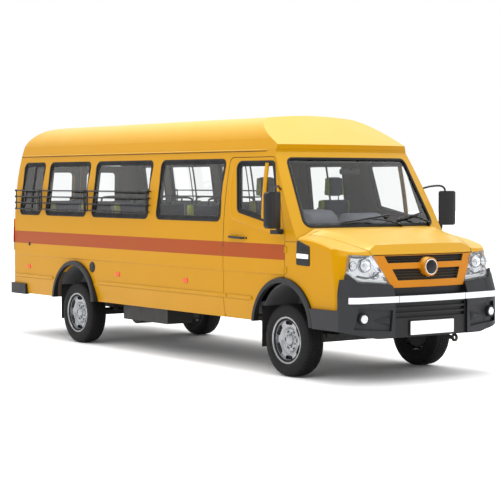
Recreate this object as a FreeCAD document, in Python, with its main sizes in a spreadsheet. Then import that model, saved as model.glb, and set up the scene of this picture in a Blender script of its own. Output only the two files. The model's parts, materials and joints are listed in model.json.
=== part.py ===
import FreeCAD, Part
import math
import os
import re

V = FreeCAD.Vector

# A bonneted school bus with a driver on the right. +X points forward, +Y to the left and
# +Z up. The origin lies on the ground, half way along the bus and on its centre line.

# Driving dimensions in millimetres, each read through its alias in the sheet.
SIZES = {
    # Whole vehicle
    "wheelbase": 4020,
    "front_overhang": 1090,
    "rear_overhang": 1610,
    # Cabin cross-section
    "half_width": 950,
    "sill_half_width": 920,
    "sill_level": 510,
    "lower_crease_level": 700,
    "upper_crease_level": 985,
    "crease_step": 8,
    "belt_level": 1180,
    "gutter_level": 2190,
    "gutter_half_width": 834,
    "roof_crease_level": 2300,
    "roof_crease_half_width": 802,
    "roof_level": 2550,
    "wall": 45,
    # Rear end of the cabin
    "rear_bumper_reach": 40,
    "rear_lean": 70,
    "rear_bow": 30,
    "rear_corner": 90,
    "rear_frame_depth": 170,
    # Windscreen and forehead, measured from the front axle
    "screen_base_ahead": 270,
    "screen_base_level": 1445,
    "screen_rake_run": 390,
    "screen_rake_rise": 655,
    "screen_bow": 105,
    "screen_base_half": 820,
    "screen_top_half": 752,
    "screen_top_level": 2100,
    "screen_corner": 60,
    "forehead_ahead": -160,
    "forehead_level": 2240,
    "forehead_slope": 26,
    "forehead_band": 70,
    # Front end, measured from the front axle
    "cowl_level": 1370,
    "pillar_foot_level": 1300,
    "nose_rear_ahead": 260,
    "nose_rear_seam_half": 850,
    "nose_rear_seam_level": 1366,
    "nose_rear_crease_half": 728,
    "nose_rear_crease_level": 1424,
    "nose_rear_crown_level": 1433,
    "nose_mid_ahead": 600,
    "nose_mid_seam_half": 762,
    "nose_mid_seam_level": 1322,
    "nose_mid_crease_half": 580,
    "nose_mid_crease_level": 1347,
    "nose_mid_crown_level": 1362,
    "nose_front_ahead": 870,
    "nose_front_seam_half": 657,
    "nose_front_seam_level": 1243,
    "nose_front_crease_half": 550,
    "nose_front_crease_level": 1288,
    "nose_front_crown_level": 1300,
    "nose_shoulder_drop": 16,
    "nose_ahead": 1030,
    "nose_corner": 260,
    "nose_bow": 60,
    "nose_lean": 50,
    "nose_bevel_run": 60,
    "nose_bevel_rise": 95,
    "nose_skin": 20,
    "bonnet_rear_bow": 90,
    "bonnet_gap": 10,
    "bonnet_side_gap": 6,
    "bonnet_thickness": 22,
    "bonnet_lip_level": 1190,
    "fender_bottom_level": 640,
    # Headlamps and grille
    "lamp_top_half": 628,
    "lamp_bottom_half": 466,
    "lamp_bottom_level": 922,
    "lamp_heel_half": 820,
    "lamp_heel_level": 948,
    "lamp_outer_half": 905,
    "lamp_outer_low_level": 1034,
    "lamp_outer_top_level": 1206,
    "lamp_rear_ahead": 861,
    "lamp_depth": 70,
    "grille_bottom_level": 890,
    "grille_depth": 40,
    "grille_recess": 26,
    "grille_slat": 9,
    "grille_slat_setback": 8,
    "grille_upper_top": 1184,
    "grille_upper_low": 1120,
    "grille_upper_half": 496,
    "grille_lower_top": 1062,
    "grille_lower_low": 958,
    "grille_lower_half": 424,
    "grille_row_taper": 0.5,
    "badge_level": 1078,
    "badge_radius": 88,
    "badge_face_radius": 66,
    "badge_ahead": 1044,
    # Front bumper
    "bumper_bottom_level": 430,
    "bumper_shelf_level": 820,
    "bumper_cap_lean": 77,
    "bumper_thickness": 52,
    "bumper_corner_level": 980,
    "bumper_corner_round": 40,
    "bumper_wing_level": 690,
    "bumper_middle_half": 455,
    "bumper_middle_recess": 20,
    "bumper_chamfer": 75,
    "strip_low_level": 760,
    "strip_top_level": 818,
    "strip_half": 930,
    "strip_proud": 8,
    "strip_seam_half": 420,
    "slot_count": 3,
    "slot_lowest_level": 612,
    "slot_pitch": 50,
    "slot_height": 30,
    "slot_margin": 25,
    "fog_recess": 22,
    "fog_lamp_half": 800,
    "fog_lamp_level": 620,
    "fog_lamp_radius": 46,
    # Rear bumper
    "rear_bumper_bottom_level": 500,
    "rear_bumper_half": 960,
    "rear_bumper_wing": 420,
    "rear_bumper_corner": 70,
    # Wheels
    "tyre_radius": 352,
    "tyre_width": 215,
    "rim_radius": 190,
    "wheel_flats": 40,
    "wheel_openings": 6,
    "wheel_cap_radius": 58,
    "wheel_cap_reach": 60,
    "track": 1632,
    "hub_radius": 42,
    "hub_running_gap": 0.5,
    "arch_radius": 440,
    "arch_centre_level": 467,
    "flare_width": 50,
    "flare_reach": 37,
    "flap_thickness": 8,
    "kingpin_half": 680,
    "kingpin_radius": 18,
    # Doors
    "door_gap": 6,
    "door_post_half": 850,
    "cab_door_rear": -1009,
    "cab_door_front": 25,
    "cab_door_bottom": 500,
    "cab_door_top": 2120,
    "entry_door_front": -1170,
    "entry_door_length": 860,
    "entry_door_bottom": 470,
    "back_door_bottom": 640,
    "back_door_top": 2080,
    "back_door_half": 640,
    "door_corner": 55,
    # Hinges
    "hinge_radius": 8,
    "hinge_pin_radius": 4,
    "hinge_knuckle": 20,
    "hinge_gap": 0.5,
    "hinge_pocket": 2,
    "hinge_leaf": 34,
    "hinge_proud": 3,
    "cab_hinge_ahead": 22,
    "entry_hinge_ahead": -1173,
    "back_hinge_half": 637,
    "back_hinge_inset": 12,
    "bonnet_hinge_ahead": 150,
    "bonnet_hinge_level": 1385,
    "bonnet_arm_half": 350,
    "bonnet_arm_drop": 150,
    # Towing eyes
    "tow_eye_radius": 38,
    "tow_eye_bore": 18,
    "tow_eye_thickness": 20,
    "tow_eye_level": 385,
    "tow_eye_half": 360,
    "front_tow_eye_ahead": 985,
    "rear_tow_eye_behind": 1480,
    # Windows, measured from the front axle
    "window_bottom": 1481,
    "window_top": 2096,
    "window_corner": 60,
    "window_four_front": -1080,
    "window_four_length": 1189,
    "window_three_front": -2449,
    "window_three_length": 1184,
    "window_two_front": -3780,
    "window_two_length": 942,
    "window_one_front": -4856,
    "window_one_length": 508,
    "glass_depth": 12,
    "glass_thickness": 5,
    "glass_gap": 0.3,
    # Window guard bars
    "bar_lowest_level": 1546,
    "bar_spacing": 74,
    "bar_count": 4,
    "bar_radius": 8,
    "bar_sides": 8,
    "bar_stand_off": 40,
    "bar_overlap": 45,
    # Chassis
    "rail_half_spacing": 385,
    "rail_width": 60,
    "rail_height": 150,
    "rail_wall": 8,
    "seat_clearance": 0.3,
    "cross_member_count": 5,
    "floor_level": 700,
    "floor_thickness": 40,
    "spring_half_spacing": 420,
    "spring_width": 65,
    "spring_half_length": 600,
    "spring_leaf": 12,
    "spring_leaves": 4,
    "spring_camber": 40,
    "spring_eye_radius": 20,
    "axle_tube_radius": 42,
    "diff_radius": 170,
    # Seats
    "seat_row_pitch": 740,
    "seat_rows": 5,
    "seat_first_back": -1760,
    "seat_cushion_depth": 430,
    "seat_cushion_thickness": 110,
    "seat_top_above_floor": 440,
    "seat_back_height": 520,
    "seat_back_thickness": 90,
    "seat_width": 640,
    "seat_wall_gap": 20,
    # Dashboard and steering wheel
    "dash_low_level": 1130,
    "dash_top_level": 1444,
    "dash_depth": 330,
    "dash_half": 850,
    "dash_pad": 16,
    "dash_hood_radius": 150,
    "steering_wheel_radius": 205,
    "steering_wheel_rim": 14,
    "steering_wheel_flats": 28,
    "steering_wheel_half": 445,
    "steering_wheel_level": 1340,
}

doc = FreeCAD.newDocument("school_bus")
sheet = doc.addObject("Spreadsheet::Sheet", "Sizes")
for row, (alias, value) in enumerate(SIZES.items(), start=1):
    sheet.set("A%d" % row, alias)
    sheet.set("B%d" % row, str(value))
    sheet.setAlias("B%d" % row, alias)
doc.recompute()


def size(alias):
    """The value of one driving dimension."""
    return float(sheet.get(alias))


# Places of the two axles along the bus, as formulas and as numbers
FRONT_AXLE = "(wheelbase + rear_overhang - front_overhang) / 2"
REAR_AXLE = "(rear_overhang - front_overhang - wheelbase) / 2"
front_axle = (size("wheelbase") + size("rear_overhang") - size("front_overhang")) / 2
rear_axle = front_axle - size("wheelbase")
rear_face = rear_axle - size("rear_overhang") + size("rear_bumper_reach") - size("rear_bow") / 2
half_track = size("track") / 2
RAIL_BOTTOM = "(floor_level - floor_thickness - seat_clearance - rail_height)"
RIGHT, LEFT = -1, 1
nodes = {}


def tie(formula):
    """The formula with every alias written as a cell of the sheet."""
    return re.sub(r"[a-z_]{3,}", lambda word: "Sizes." + word[0] if word[0] in SIZES else word[0], formula)


def bind(piece, **formulas):
    """Ties properties of a piece to formulas of driving dimensions."""
    for name, formula in formulas.items():
        piece.setExpression(name, tie(formula))


def place(piece, x="0", y="0", z="0"):
    for axis, formula in (("x", x), ("y", y), ("z", z)):
        piece.setExpression("Placement.Base." + axis, tie(formula))
    return piece


def box(name, length, width, height, x, y, z):
    piece = doc.addObject("Part::Box", name)
    bind(piece, Length=length, Width=width, Height=height)
    return place(piece, x, y, z)


def cylinder(name, radius, height, x, y, z, axis=V(0, 0, 1)):
    piece = doc.addObject("Part::Cylinder", name)
    bind(piece, Radius=radius, Height=height)
    piece.Placement.Rotation = FreeCAD.Rotation(V(0, 0, 1), axis)
    return place(piece, x, y, z)


def fuse(name, pieces):
    joined = doc.addObject("Part::MultiFuse", name)
    joined.Shapes = pieces
    return joined


def cut(name, base, tool):
    piece = doc.addObject("Part::Cut", name)
    piece.Base = base
    piece.Tool = tool
    return piece


def feature(name, shape):
    piece = doc.addObject("Part::Feature", name)
    piece.Shape = shape
    return piece


def node(name, piece):
    """Names a finished sub-part."""
    piece.Label = name
    nodes[name] = piece
    return piece


def edge(points):
    """A line through two points or an arc through three."""
    if len(points) == 2:
        return Part.makeLine(*points)
    return Part.Arc(*points).toShape()


def rounded_loop(points, radius):
    """A closed wire through the points with each corner rounded."""
    corners = []
    count = len(points)
    radii = radius if isinstance(radius, (list, tuple)) else [radius] * count
    for index, point in enumerate(points):
        back = (points[index - 1] - point).normalize()
        ahead = (points[(index + 1) % count] - point).normalize()
        half = back.getAngle(ahead) / 2
        reach = radii[index] / math.tan(half)
        middle = (back + ahead).normalize() * (radii[index] / math.sin(half) - radii[index])
        corners.append((point + back * reach, point + middle, point + ahead * reach))
    edges = []
    for index, corner in enumerate(corners):
        edges.append(edge(corner))
        edges.append(edge((corner[2], corners[(index + 1) % count][0])))
    return Part.Wire(edges)


def side_prism(points, radius, side, inner=300, outer=1300):
    """A prism across one side of the bus from an outline of (x, z) points."""
    wire = rounded_loop([V(x, side * inner, z) for x, z in points], radius)
    return Part.Face(wire).extrude(V(0, side * (outer - inner), 0))


def block(x_low, x_high, y_low, y_high, z_low, z_high):
    return Part.makeBox(x_high - x_low, y_high - y_low, z_high - z_low, V(x_low, y_low, z_low))


def front_prism(points, low_ahead, high_ahead, radius=0):
    """A prism along the bus from an outline of (y, z) points, between two places ahead of the front axle."""
    corners = [V(front_axle + low_ahead, y, z) for y, z in points]
    wire = rounded_loop(corners, radius) if radius else Part.makePolygon(corners + corners[:1])
    return Part.Face(wire).extrude(V(high_ahead - low_ahead, 0, 0))


def mirrored(points, side):
    return [(side * y, z) for y, z in points]


def rod(start, end, radius, sides):
    """A straight bar between two points, made of flats whose middles lie on the radius."""
    along = end - start
    across = along.cross(V(0, 0, 1) if abs(along.z) < along.Length / 2 else V(1, 0, 0)).normalize()
    up = across.cross(along).normalize()
    corner = radius / math.cos(math.pi / sides)
    points = []
    for index in range(sides):
        angle = 2 * math.pi * (index + 0.5) / sides
        points.append(start + (across * math.cos(angle) + up * math.sin(angle)) * corner)
    return Part.Face(Part.makePolygon(points + points[:1])).extrude(along)


def ring_of_flats(outline, count):
    """A ring about the y axis from a closed outline of (radius, offset) points, turned in flat steps.

    The middles of the flats lie on the given radii and one flat looks straight down.
    """
    stretch = 1 / math.cos(math.pi / count)
    angles = [2 * math.pi * (step + 0.5) / count for step in range(count)]
    turns = [[V(radius * stretch * math.sin(angle), offset, -radius * stretch * math.cos(angle))
              for radius, offset in outline] for angle in angles]
    faces = []
    for index, turn in enumerate(turns):
        following = turns[(index + 1) % count]
        for here in range(len(outline)):
            there = (here + 1) % len(outline)
            loop = [turn[here], turn[there], following[there], following[here], turn[here]]
            faces.append(Part.Face(Part.makePolygon(loop)))
    shell = Part.Shell(faces)
    shell.sewShape()
    return Part.Solid(shell)


def tumblehome(level, inset):
    """Half width of the upper side, a long arc from the belt to the gutter."""
    drop = size("half_width") - size("gutter_half_width")
    rise = size("gutter_level") - size("belt_level")
    radius = (rise ** 2 + drop ** 2) / (2 * drop)
    return size("half_width") - inset - radius + math.sqrt(radius ** 2 - (level - size("belt_level")) ** 2)


def roof_arcs(inset):
    """Shoulder and crown of the roof: two arcs that meet at the same slope."""
    crease_half = size("roof_crease_half_width") - inset
    crease_level = size("roof_crease_level") - inset * 0.3
    rise = size("roof_level") - inset - crease_level
    start, end = math.radians(70), math.radians(6)
    across = math.sin(start) - math.sin(end)
    up = math.cos(end) - math.cos(start)
    radius = (rise - crease_half * math.tan(end / 2)) / (up - across * math.tan(end / 2))

    def shoulder(angle):
        return (crease_half - radius * (math.sin(start) - math.sin(angle)),
                crease_level + radius * (math.cos(angle) - math.cos(start)))

    return [shoulder(start), shoulder((start + end) / 2), shoulder(end)]


def cabin_section(x, inset):
    """Cross-section of the cabin as a face: sides with two creases, gutter and arched roof."""
    step = size("crease_step")
    belt = (size("half_width") - inset, size("belt_level"))
    gutter = (tumblehome(size("gutter_level"), inset), size("gutter_level"))
    middle_level = (size("belt_level") + size("gutter_level")) / 2
    shoulder = roof_arcs(inset)
    steps = [
        [(size("sill_half_width") - inset, size("sill_level")),
         (size("half_width") - 4 - inset, size("lower_crease_level"))],
        [(size("half_width") - 4 - inset, size("lower_crease_level")),
         (size("half_width") - step - inset, size("lower_crease_level") + step)],
        [(size("half_width") - step - inset, size("lower_crease_level") + step),
         (size("half_width") - step - inset, size("upper_crease_level") - step)],
        [(size("half_width") - step - inset, size("upper_crease_level") - step),
         (size("half_width") - inset, size("upper_crease_level"))],
        [(size("half_width") - inset, size("upper_crease_level")), belt],
        [belt, (tumblehome(middle_level, inset), middle_level), gutter],
        [gutter, shoulder[0]],
        shoulder,
    ]
    edges = [edge([V(x, y, z) for y, z in run]) for run in steps]
    top = shoulder[2]
    edges.append(edge([V(x, top[0], top[1]), V(x, 0, size("roof_level") - inset), V(x, -top[0], top[1])]))
    edges += [edge([V(x, -y, z) for y, z in reversed(run)]) for run in reversed(steps)]
    foot = steps[0][0]
    edges.append(edge([V(x, -foot[0], foot[1]), V(x, foot[0], foot[1])]))
    return Part.Face(Part.Wire(edges))


def rear_plan(inset):
    """Prism that gives the rear face its bow, its rounded corners and its lean."""
    bow, corner = size("rear_bow"), size("rear_corner")
    back = rear_face + inset
    side = size("half_width") - inset
    far = front_axle + size("front_overhang")
    belt = size("belt_level")
    outline = [
        [V(back + bow, side - corner, 0), V(back, 0, 0), V(back + bow, corner - side, 0)],
        [V(back + bow, corner - side, 0), V(back + bow + corner * 0.35, -side + corner * 0.3, 0),
         V(back + bow + corner, -side - 1, 0)],
        [V(back + bow + corner, -side - 1, 0), V(far, -side - 1, 0)],
        [V(far, -side - 1, 0), V(far, side + 1, 0)],
        [V(far, side + 1, 0), V(back + bow + corner, side + 1, 0)],
        [V(back + bow + corner, side + 1, 0), V(back + bow + corner * 0.35, side - corner * 0.3, 0),
         V(back + bow, side - corner, 0)],
    ]
    face = Part.Face(Part.Wire([edge(run) for run in outline]))
    lower = face.extrude(V(0, 0, belt))
    upper = face.translated(V(0, 0, belt))
    rise = size("gutter_level") - belt
    upper = upper.extrude(V(size("rear_lean"), 0, rise) * 1.6)
    return lower.fuse(upper)


def roof_profile(inset):
    """Prism that rounds the rear end of the roof."""
    y = -size("half_width") - 100
    low = size("sill_level") - 50
    back = rear_face + size("rear_lean") + inset
    gutter = size("gutter_level")
    top = size("roof_level") - inset + 1
    rise = top - gutter
    length = rise * 1.9
    far = front_axle + size("front_overhang")
    outline = [
        [V(back - 200, y, low), V(back - 200, y, gutter)],
        [V(back - 200, y, gutter), V(back, y, gutter)],
        [V(back, y, gutter), V(back + length * 0.14, y, gutter + rise * 0.55),
         V(back + length * 0.42, y, gutter + rise * 0.86)],
        [V(back + length * 0.42, y, gutter + rise * 0.86), V(back + length * 0.7, y, gutter + rise * 0.965),
         V(back + length, y, top)],
        [V(back + length, y, top), V(far, y, top)],
        [V(far, y, top), V(far, y, low)],
        [V(far, y, low), V(back - 200, y, low)],
    ]
    face = Part.Face(Part.Wire([edge(run) for run in outline]))
    return face.extrude(V(0, -2 * y, 0))


def bowed_front(ahead, bow, half, level, sweep):
    """Everything ahead of a bowed sheet that starts at a level and runs along the sweep."""
    reach = 1.6
    sag = bow * reach ** 2
    x = front_axle + ahead
    far = x + 2500
    points = [V(x - sag, -half * reach, level), V(x, 0, level), V(x - sag, half * reach, level)]
    edges = [edge(points), edge([points[2], V(far, half * reach, level)]),
             edge([V(far, half * reach, level), V(far, -half * reach, level)]),
             edge([V(far, -half * reach, level), points[0]])]
    return Part.Face(Part.Wire(edges)).extrude(sweep)


def cabin_solid(inset):
    """The cabin as a solid, its skin moved inwards by the inset."""
    start = rear_face - 100
    body = cabin_section(start, inset).extrude(V(front_axle + size("front_overhang") - start, 0, 0))
    body = body.common(rear_plan(inset)).common(roof_profile(inset))
    run, rise = size("screen_rake_run"), size("screen_rake_rise")
    along = math.hypot(run, rise)
    back = inset * along / rise
    low = size("sill_level") - 100
    below = size("screen_base_level") - low
    bow, half = size("screen_bow"), size("screen_base_half")
    slope = math.radians(size("forehead_slope"))
    crease = size("forehead_level") - inset * (1 - math.sin(slope)) / math.cos(slope)
    band = size("forehead_level") - size("forehead_band")
    screen = bowed_front(size("screen_base_ahead") + run * below / rise - back, bow, half, low,
                         V(-run, 0, rise) * ((band - low) / rise))
    brow = bowed_front(size("forehead_ahead") - inset, bow, half, band, V(0, 0, crease - band))
    forehead = bowed_front(size("forehead_ahead") - inset, bow, half, crease,
                           V(-math.cos(slope), 0, math.sin(slope)) * 1300)
    return body.cut(screen).cut(brow).cut(forehead)


def arch_prism(axle_x, side, radius, inner=0, outer=1300):
    """The space of a wheel arch: a round top with straight sides down to the ground."""
    centre = size("arch_centre_level")
    y = side * inner
    points = [V(axle_x - radius, y, centre), V(axle_x, y, centre + radius), V(axle_x + radius, y, centre)]
    edges = [edge(points), edge([points[2], V(axle_x + radius, y, 0)]),
             edge([V(axle_x + radius, y, 0), V(axle_x - radius, y, 0)]),
             edge([V(axle_x - radius, y, 0), points[0]])]
    return Part.Face(Part.Wire(edges)).extrude(V(0, side * (outer - inner), 0))


def window_outlines():
    """Corner points (x, z) of the four side windows, front to back, and the names used for them."""
    low, high = size("window_bottom"), size("window_top")
    outlines = {}
    for name in ("four", "three", "two", "one"):
        front = front_axle + size("window_%s_front" % name)
        back = front - size("window_%s_length" % name)
        outlines[name] = [(back, low), (front, low), (front, high), (back, high)]
    return outlines


def cab_door_outline(gap):
    """Outline of a cab door: its front edge follows the windscreen pillar."""
    front = front_axle + size("cab_door_front") - gap
    back = front_axle + size("cab_door_rear") + gap
    low, high = size("cab_door_bottom") + gap, size("cab_door_top") - gap
    return [(back, low), (front, low), (front, 1357), (front - 170, 1883), (front - 295, high), (back, high)]


def cab_window_outline(gap):
    """Outline of the glass in a cab door, with its lower edge falling towards the front."""
    x = front_axle
    return [(x - 878 + gap, 2072 - gap), (x - 775 + gap, 1580 + gap), (x - 300 - gap, 1492 + gap),
            (x - 55 - gap, 1492 + gap), (x - 262 - gap, 2072 - gap)]


def entry_door_outline(gap):
    front = front_axle + size("entry_door_front") - gap
    back = front_axle + size("entry_door_front") - size("entry_door_length") + gap
    low, high = size("entry_door_bottom") + gap, size("cab_door_top") - gap
    return [(back, low), (front, low), (front, high), (back, high)]


def back_door_loop(side, gap, margin=0):
    """Outline (y, z) of one rear door, from the centre line to its outer edge."""
    low, high = size("back_door_bottom") + gap + margin, size("back_door_top") - gap - margin
    inner = gap + margin
    outer = size("back_door_half") - gap - margin
    return [(side * inner, low), (side * outer, low), (side * outer, high), (side * inner, high)]


def rear_prism(points, radius):
    start = rear_face - 100
    wire = rounded_loop([V(start, y, z) for y, z in points], radius)
    return Part.Face(wire).extrude(V(500, 0, 0))


outer_solid = cabin_solid(0)
cabin_shell = outer_solid.cut(cabin_solid(size("wall")))
glass_shell = cabin_solid(size("glass_depth")).cut(cabin_solid(size("glass_depth") + size("glass_thickness")))
far_front = front_axle + size("front_overhang")
rear_split = rear_face + size("rear_frame_depth")
cab_split = front_axle + size("cab_door_rear")
gutter = size("gutter_level")
wide = size("half_width") + 60


def windscreen_prism(gap):
    points = [(-size("screen_base_half") + gap, size("screen_base_level") + gap),
              (size("screen_base_half") - gap, size("screen_base_level") + gap),
              (size("screen_top_half") - gap, size("screen_top_level") - gap),
              (-size("screen_top_half") + gap, size("screen_top_level") - gap)]
    wire = rounded_loop([V(front_axle - 700, y, z) for y, z in points], size("screen_corner"))
    return Part.Face(wire).extrude(V(1500, 0, 0))


def make_cabin():
    """Roof, walls, rear frame and windscreen frame, split from one shell at the real seams."""
    node("roof", feature("Roof", cabin_shell.common(
        block(rear_face - 100, far_front, -wide, wide, gutter, size("roof_level") + 50))))
    rear = cabin_shell.common(block(rear_face - 100, rear_split, -wide, wide, 0, gutter))
    for side in (RIGHT, LEFT):
        rear = rear.cut(rear_prism(back_door_loop(side, 0), size("door_corner")))
    middle = block(rear_face - 100, rear_split + 10, -size("door_corner"), size("door_corner"),
                   size("back_door_bottom"), size("back_door_top"))
    rear = rear.cut(middle)
    for side in (RIGHT, LEFT):
        for _, fixed, pocket in back_hinges(side):
            rear = rear.cut(pocket).fuse(fixed)
    node("rear_frame", feature("RearFrame", rear))
    for side, name in ((RIGHT, "side_wall_right"), (LEFT, "side_wall_left")):
        low_y, high_y = sorted((side * 200, side * wide))
        wall = cabin_shell.common(block(rear_split, cab_split, low_y, high_y, 0, gutter))
        wall = wall.cut(arch_prism(rear_axle, side, size("arch_radius")))
        for window, outline in window_outlines().items():
            if side == RIGHT or window != "four":
                wall = wall.cut(side_prism(outline, size("window_corner"), side))
        if side == LEFT:
            wall = wall.cut(side_prism(entry_door_outline(0), size("door_corner"), side))
            for _, fixed, pocket in side_hinges(LEFT, size("entry_hinge_ahead")):
                wall = wall.cut(pocket).fuse(fixed)
        node(name, feature(name.title().replace("_", ""), wall))
    cab = cabin_shell.common(block(cab_split, far_front, -wide, wide, size("pillar_foot_level"), gutter))
    cab = cab.cut(nose_solid(-size("seat_clearance")))
    for side in (RIGHT, LEFT):
        cab = cab.cut(side_prism(cab_door_outline(0), size("door_corner"), side, 760))
    cab = cab.cut(windscreen_prism(0))
    start = front_axle + size("cab_door_front")
    posts = nose_solid(size("nose_skin") + size("seat_clearance")).common(
        block(start, start + 45, -wide, wide, size("arch_centre_level") + size("arch_radius") + 20, 1600))
    post = size("door_post_half")
    posts = posts.cut(block(start - 1, start + 50, -post, post, 0, 1700))
    cab = cab.fuse(posts)
    node("windscreen_frame", feature("WindscreenFrame", cab))


def make_glass():
    screen = glass_shell.common(windscreen_prism(size("glass_gap")))
    screen = screen.common(block(front_axle - 400, far_front, -wide, wide, 0, gutter))
    node("windscreen", feature("Windscreen", screen))
    panes = []
    gap = size("glass_gap")
    for side in (RIGHT, LEFT):
        for window, outline in window_outlines().items():
            if side == LEFT and window == "four":
                continue
            (back, low), (front, _), (_, high), _ = outline
            points = [(back + gap, low + gap), (front - gap, low + gap), (front - gap, high - gap),
                      (back + gap, high - gap)]
            panes.append(glass_shell.common(side_prism(points, size("window_corner"), side)))
    node("side_windows", feature("SideWindows", Part.makeCompound(panes)))


def hinge(at, toward, outward):
    """One hinge on an upright axis: the door's half, the body's half with the pin, and their pocket.

    The place is the foot of the axis; the door lies toward one way and the skin faces outward.
    """
    radius, tall, gap = size("hinge_radius"), size("hinge_knuckle"), size("hinge_gap")
    pin, pocket = size("hinge_pin_radius"), size("hinge_radius") + size("hinge_pocket")

    def barrel(low, high, thick):
        return Part.makeCylinder(thick, high - low, at + V(0, 0, low), V(0, 0, 1))

    def leaf(way, low, high):
        near = at + way * size("hinge_proud") + outward * size("hinge_proud")
        far = at + way * size("hinge_leaf") - outward * size("hinge_knuckle")
        return block(*sorted((near.x, far.x)), *sorted((near.y, far.y)), at.z + low, at.z + high)

    low, high = tall + gap, 2 * tall - gap
    moving = barrel(low, high, radius).fuse(leaf(toward, low, high)).cut(barrel(0, 3 * tall, pin + gap))
    fixed = leaf(toward * -1, 0, 3 * tall).fuse([barrel(0, tall, radius), barrel(2 * tall, 3 * tall, radius)])
    fixed = fixed.cut(barrel(tall, 2 * tall, pocket)).fuse(barrel(0, 3 * tall, pin))
    return moving, fixed, barrel(-gap, 3 * tall + gap, pocket)


def side_hinges(side, ahead):
    """The hinges of a side door, one above the other."""
    levels = (1000, 1195) if ahead == size("cab_hinge_ahead") else (615, 1100)
    y = side * (size("half_width") + size("hinge_proud"))
    return [hinge(V(front_axle + ahead, y, level), V(-1, 0, 0), V(0, side, 0)) for level in levels]


def back_hinges(side):
    x = rear_face + size("back_hinge_inset")
    y = side * size("back_hinge_half")
    return [hinge(V(x, y, level), V(0, -side, 0), V(-1, 0, 0)) for level in (720, 1100)]


def make_side_door(name, side, outline, window, with_arch):
    """A door cut from the side of the cabin, with its own window."""
    panel = cabin_shell.common(side_prism(outline(size("door_gap")), size("door_corner"), side, 770))
    if with_arch:
        panel = panel.cut(arch_prism(front_axle, side, size("arch_radius") + size("flare_width")
                                     + size("door_gap")))
    panel = panel.cut(side_prism(window(0), size("window_corner"), side))
    for moving, _, pocket in side_hinges(side, size("cab_hinge_ahead" if with_arch else "entry_hinge_ahead")):
        panel = panel.cut(pocket).fuse(moving)
    node(name, feature(name.title().replace("_", ""), panel))
    pane = glass_shell.common(side_prism(window(size("glass_gap")), size("window_corner"), side))
    node(name + "_glass", feature(name.title().replace("_", "") + "Glass", pane))


def entry_window_outline(gap):
    margin = 95
    points = entry_door_outline(size("door_gap"))
    (back, _), (front, _), _, _ = points
    low, high = size("window_bottom") - 250, size("window_top") - 20
    return [(back + margin + gap, low + gap), (front - margin - gap, low + gap),
            (front - margin - gap, high - gap), (back + margin + gap, high - gap)]


def make_back_doors():
    for side, name in ((RIGHT, "back_door_right"), (LEFT, "back_door_left")):
        outer_corner = size("door_corner") - size("door_gap")
        radii = [size("door_gap"), outer_corner, outer_corner, size("door_gap")]
        panel = cabin_shell.common(rear_prism(back_door_loop(side, size("door_gap")), radii))
        window = [(side * 90, 1420), (side * 545, 1420), (side * 530, 2000), (side * 90, 2000)]
        panel = panel.cut(rear_prism(window, size("window_corner")))
        for moving, _, pocket in back_hinges(side):
            panel = panel.cut(pocket).fuse(moving)
        node(name, feature(name.title().replace("_", ""), panel))
        gap = size("glass_gap")
        inner = [(side * (90 + gap), 1420 + gap), (side * (545 - gap), 1420 + gap),
                 (side * (530 - gap), 2000 - gap), (side * (90 + gap), 2000 - gap)]
        pane = glass_shell.common(rear_prism(inner, size("window_corner")))
        node(name + "_glass", feature(name.title().replace("_", "") + "Glass", pane))


def nose_section(station, inset):
    """Cross-section of the front end: flank, rounded shoulder, bonnet seam, crease and raised middle."""
    ahead, seam_half, seam, crease_half, crease, crown = station
    x = front_axle + ahead
    side = size("half_width") - inset
    shoulder = seam - size("nose_shoulder_drop") - inset
    low = size("pillar_foot_level") - 1100
    draw = inset * 0.4
    runs = [
        [(side, low), (side, shoulder - 58)],
        [(side, shoulder - 58), (side - 9, shoulder - 24)],
        [(side - 9, shoulder - 24), (side - 28, shoulder - 7)],
        [(side - 28, shoulder - 7), (seam_half - draw, seam - inset)],
        [(seam_half - draw, seam - inset), (crease_half - draw, crease - inset)],
    ]
    edges = [edge([V(x, y, z) for y, z in run]) for run in runs]
    top = crease_half - draw
    edges.append(edge([V(x, top, crease - inset), V(x, 0, crown - inset), V(x, -top, crease - inset)]))
    edges += [edge([V(x, -y, z) for y, z in reversed(run)]) for run in reversed(runs)]
    edges.append(edge([V(x, -side, low), V(x, side, low)]))
    return Part.Wire(edges)


def nose_stations():
    """Places along the nose with the half widths and levels of its lines, and one beyond each end."""
    keys = ("ahead", "seam_half", "seam_level", "crease_half", "crease_level", "crown_level")
    rear, middle, front = ([size("nose_%s_%s" % (part, key)) for key in keys]
                           for part in ("rear", "mid", "front"))
    beyond = [last + (last - before) * 0.8 for before, last in zip(middle, front)]
    return [[-100] + rear[1:], [100] + rear[1:], rear, middle, front, beyond]


def nose_plan(inset):
    """The nose in plan as a prism: upright, then leaning back over the grille and over the bonnet's lip."""
    x = front_axle
    side = size("half_width") - inset
    corner, bow = size("nose_corner"), size("nose_bow")
    front = x + size("nose_ahead") - inset
    points = [
        [V(x - 200, side + 1, 0), V(front - corner, side + 1, 0)],
        [V(front - corner, side + 1, 0), V(front - bow - corner * 0.25, side - corner * 0.28, 0),
         V(front - bow, side - corner, 0)],
        [V(front - bow, side - corner, 0), V(front, 0, 0), V(front - bow, corner - side, 0)],
        [V(front - bow, corner - side, 0), V(front - bow - corner * 0.25, corner * 0.28 - side, 0),
         V(front - corner, -side - 1, 0)],
        [V(front - corner, -side - 1, 0), V(x - 200, -side - 1, 0)],
        [V(x - 200, -side - 1, 0), V(x - 200, side + 1, 0)],
    ]
    face = Part.Face(Part.Wire([edge(run) for run in points]))
    knee, lip = size("grille_bottom_level"), size("bonnet_lip_level")
    back = -size("nose_lean")
    grille = face.translated(V(0, 0, knee)).extrude(V(back, 0, lip - knee))
    bevel = V(-size("nose_bevel_run"), 0, size("nose_bevel_rise")) * 3
    return face.extrude(V(0, 0, knee)).fuse([grille, face.translated(V(back, 0, lip)).extrude(bevel)])


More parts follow.
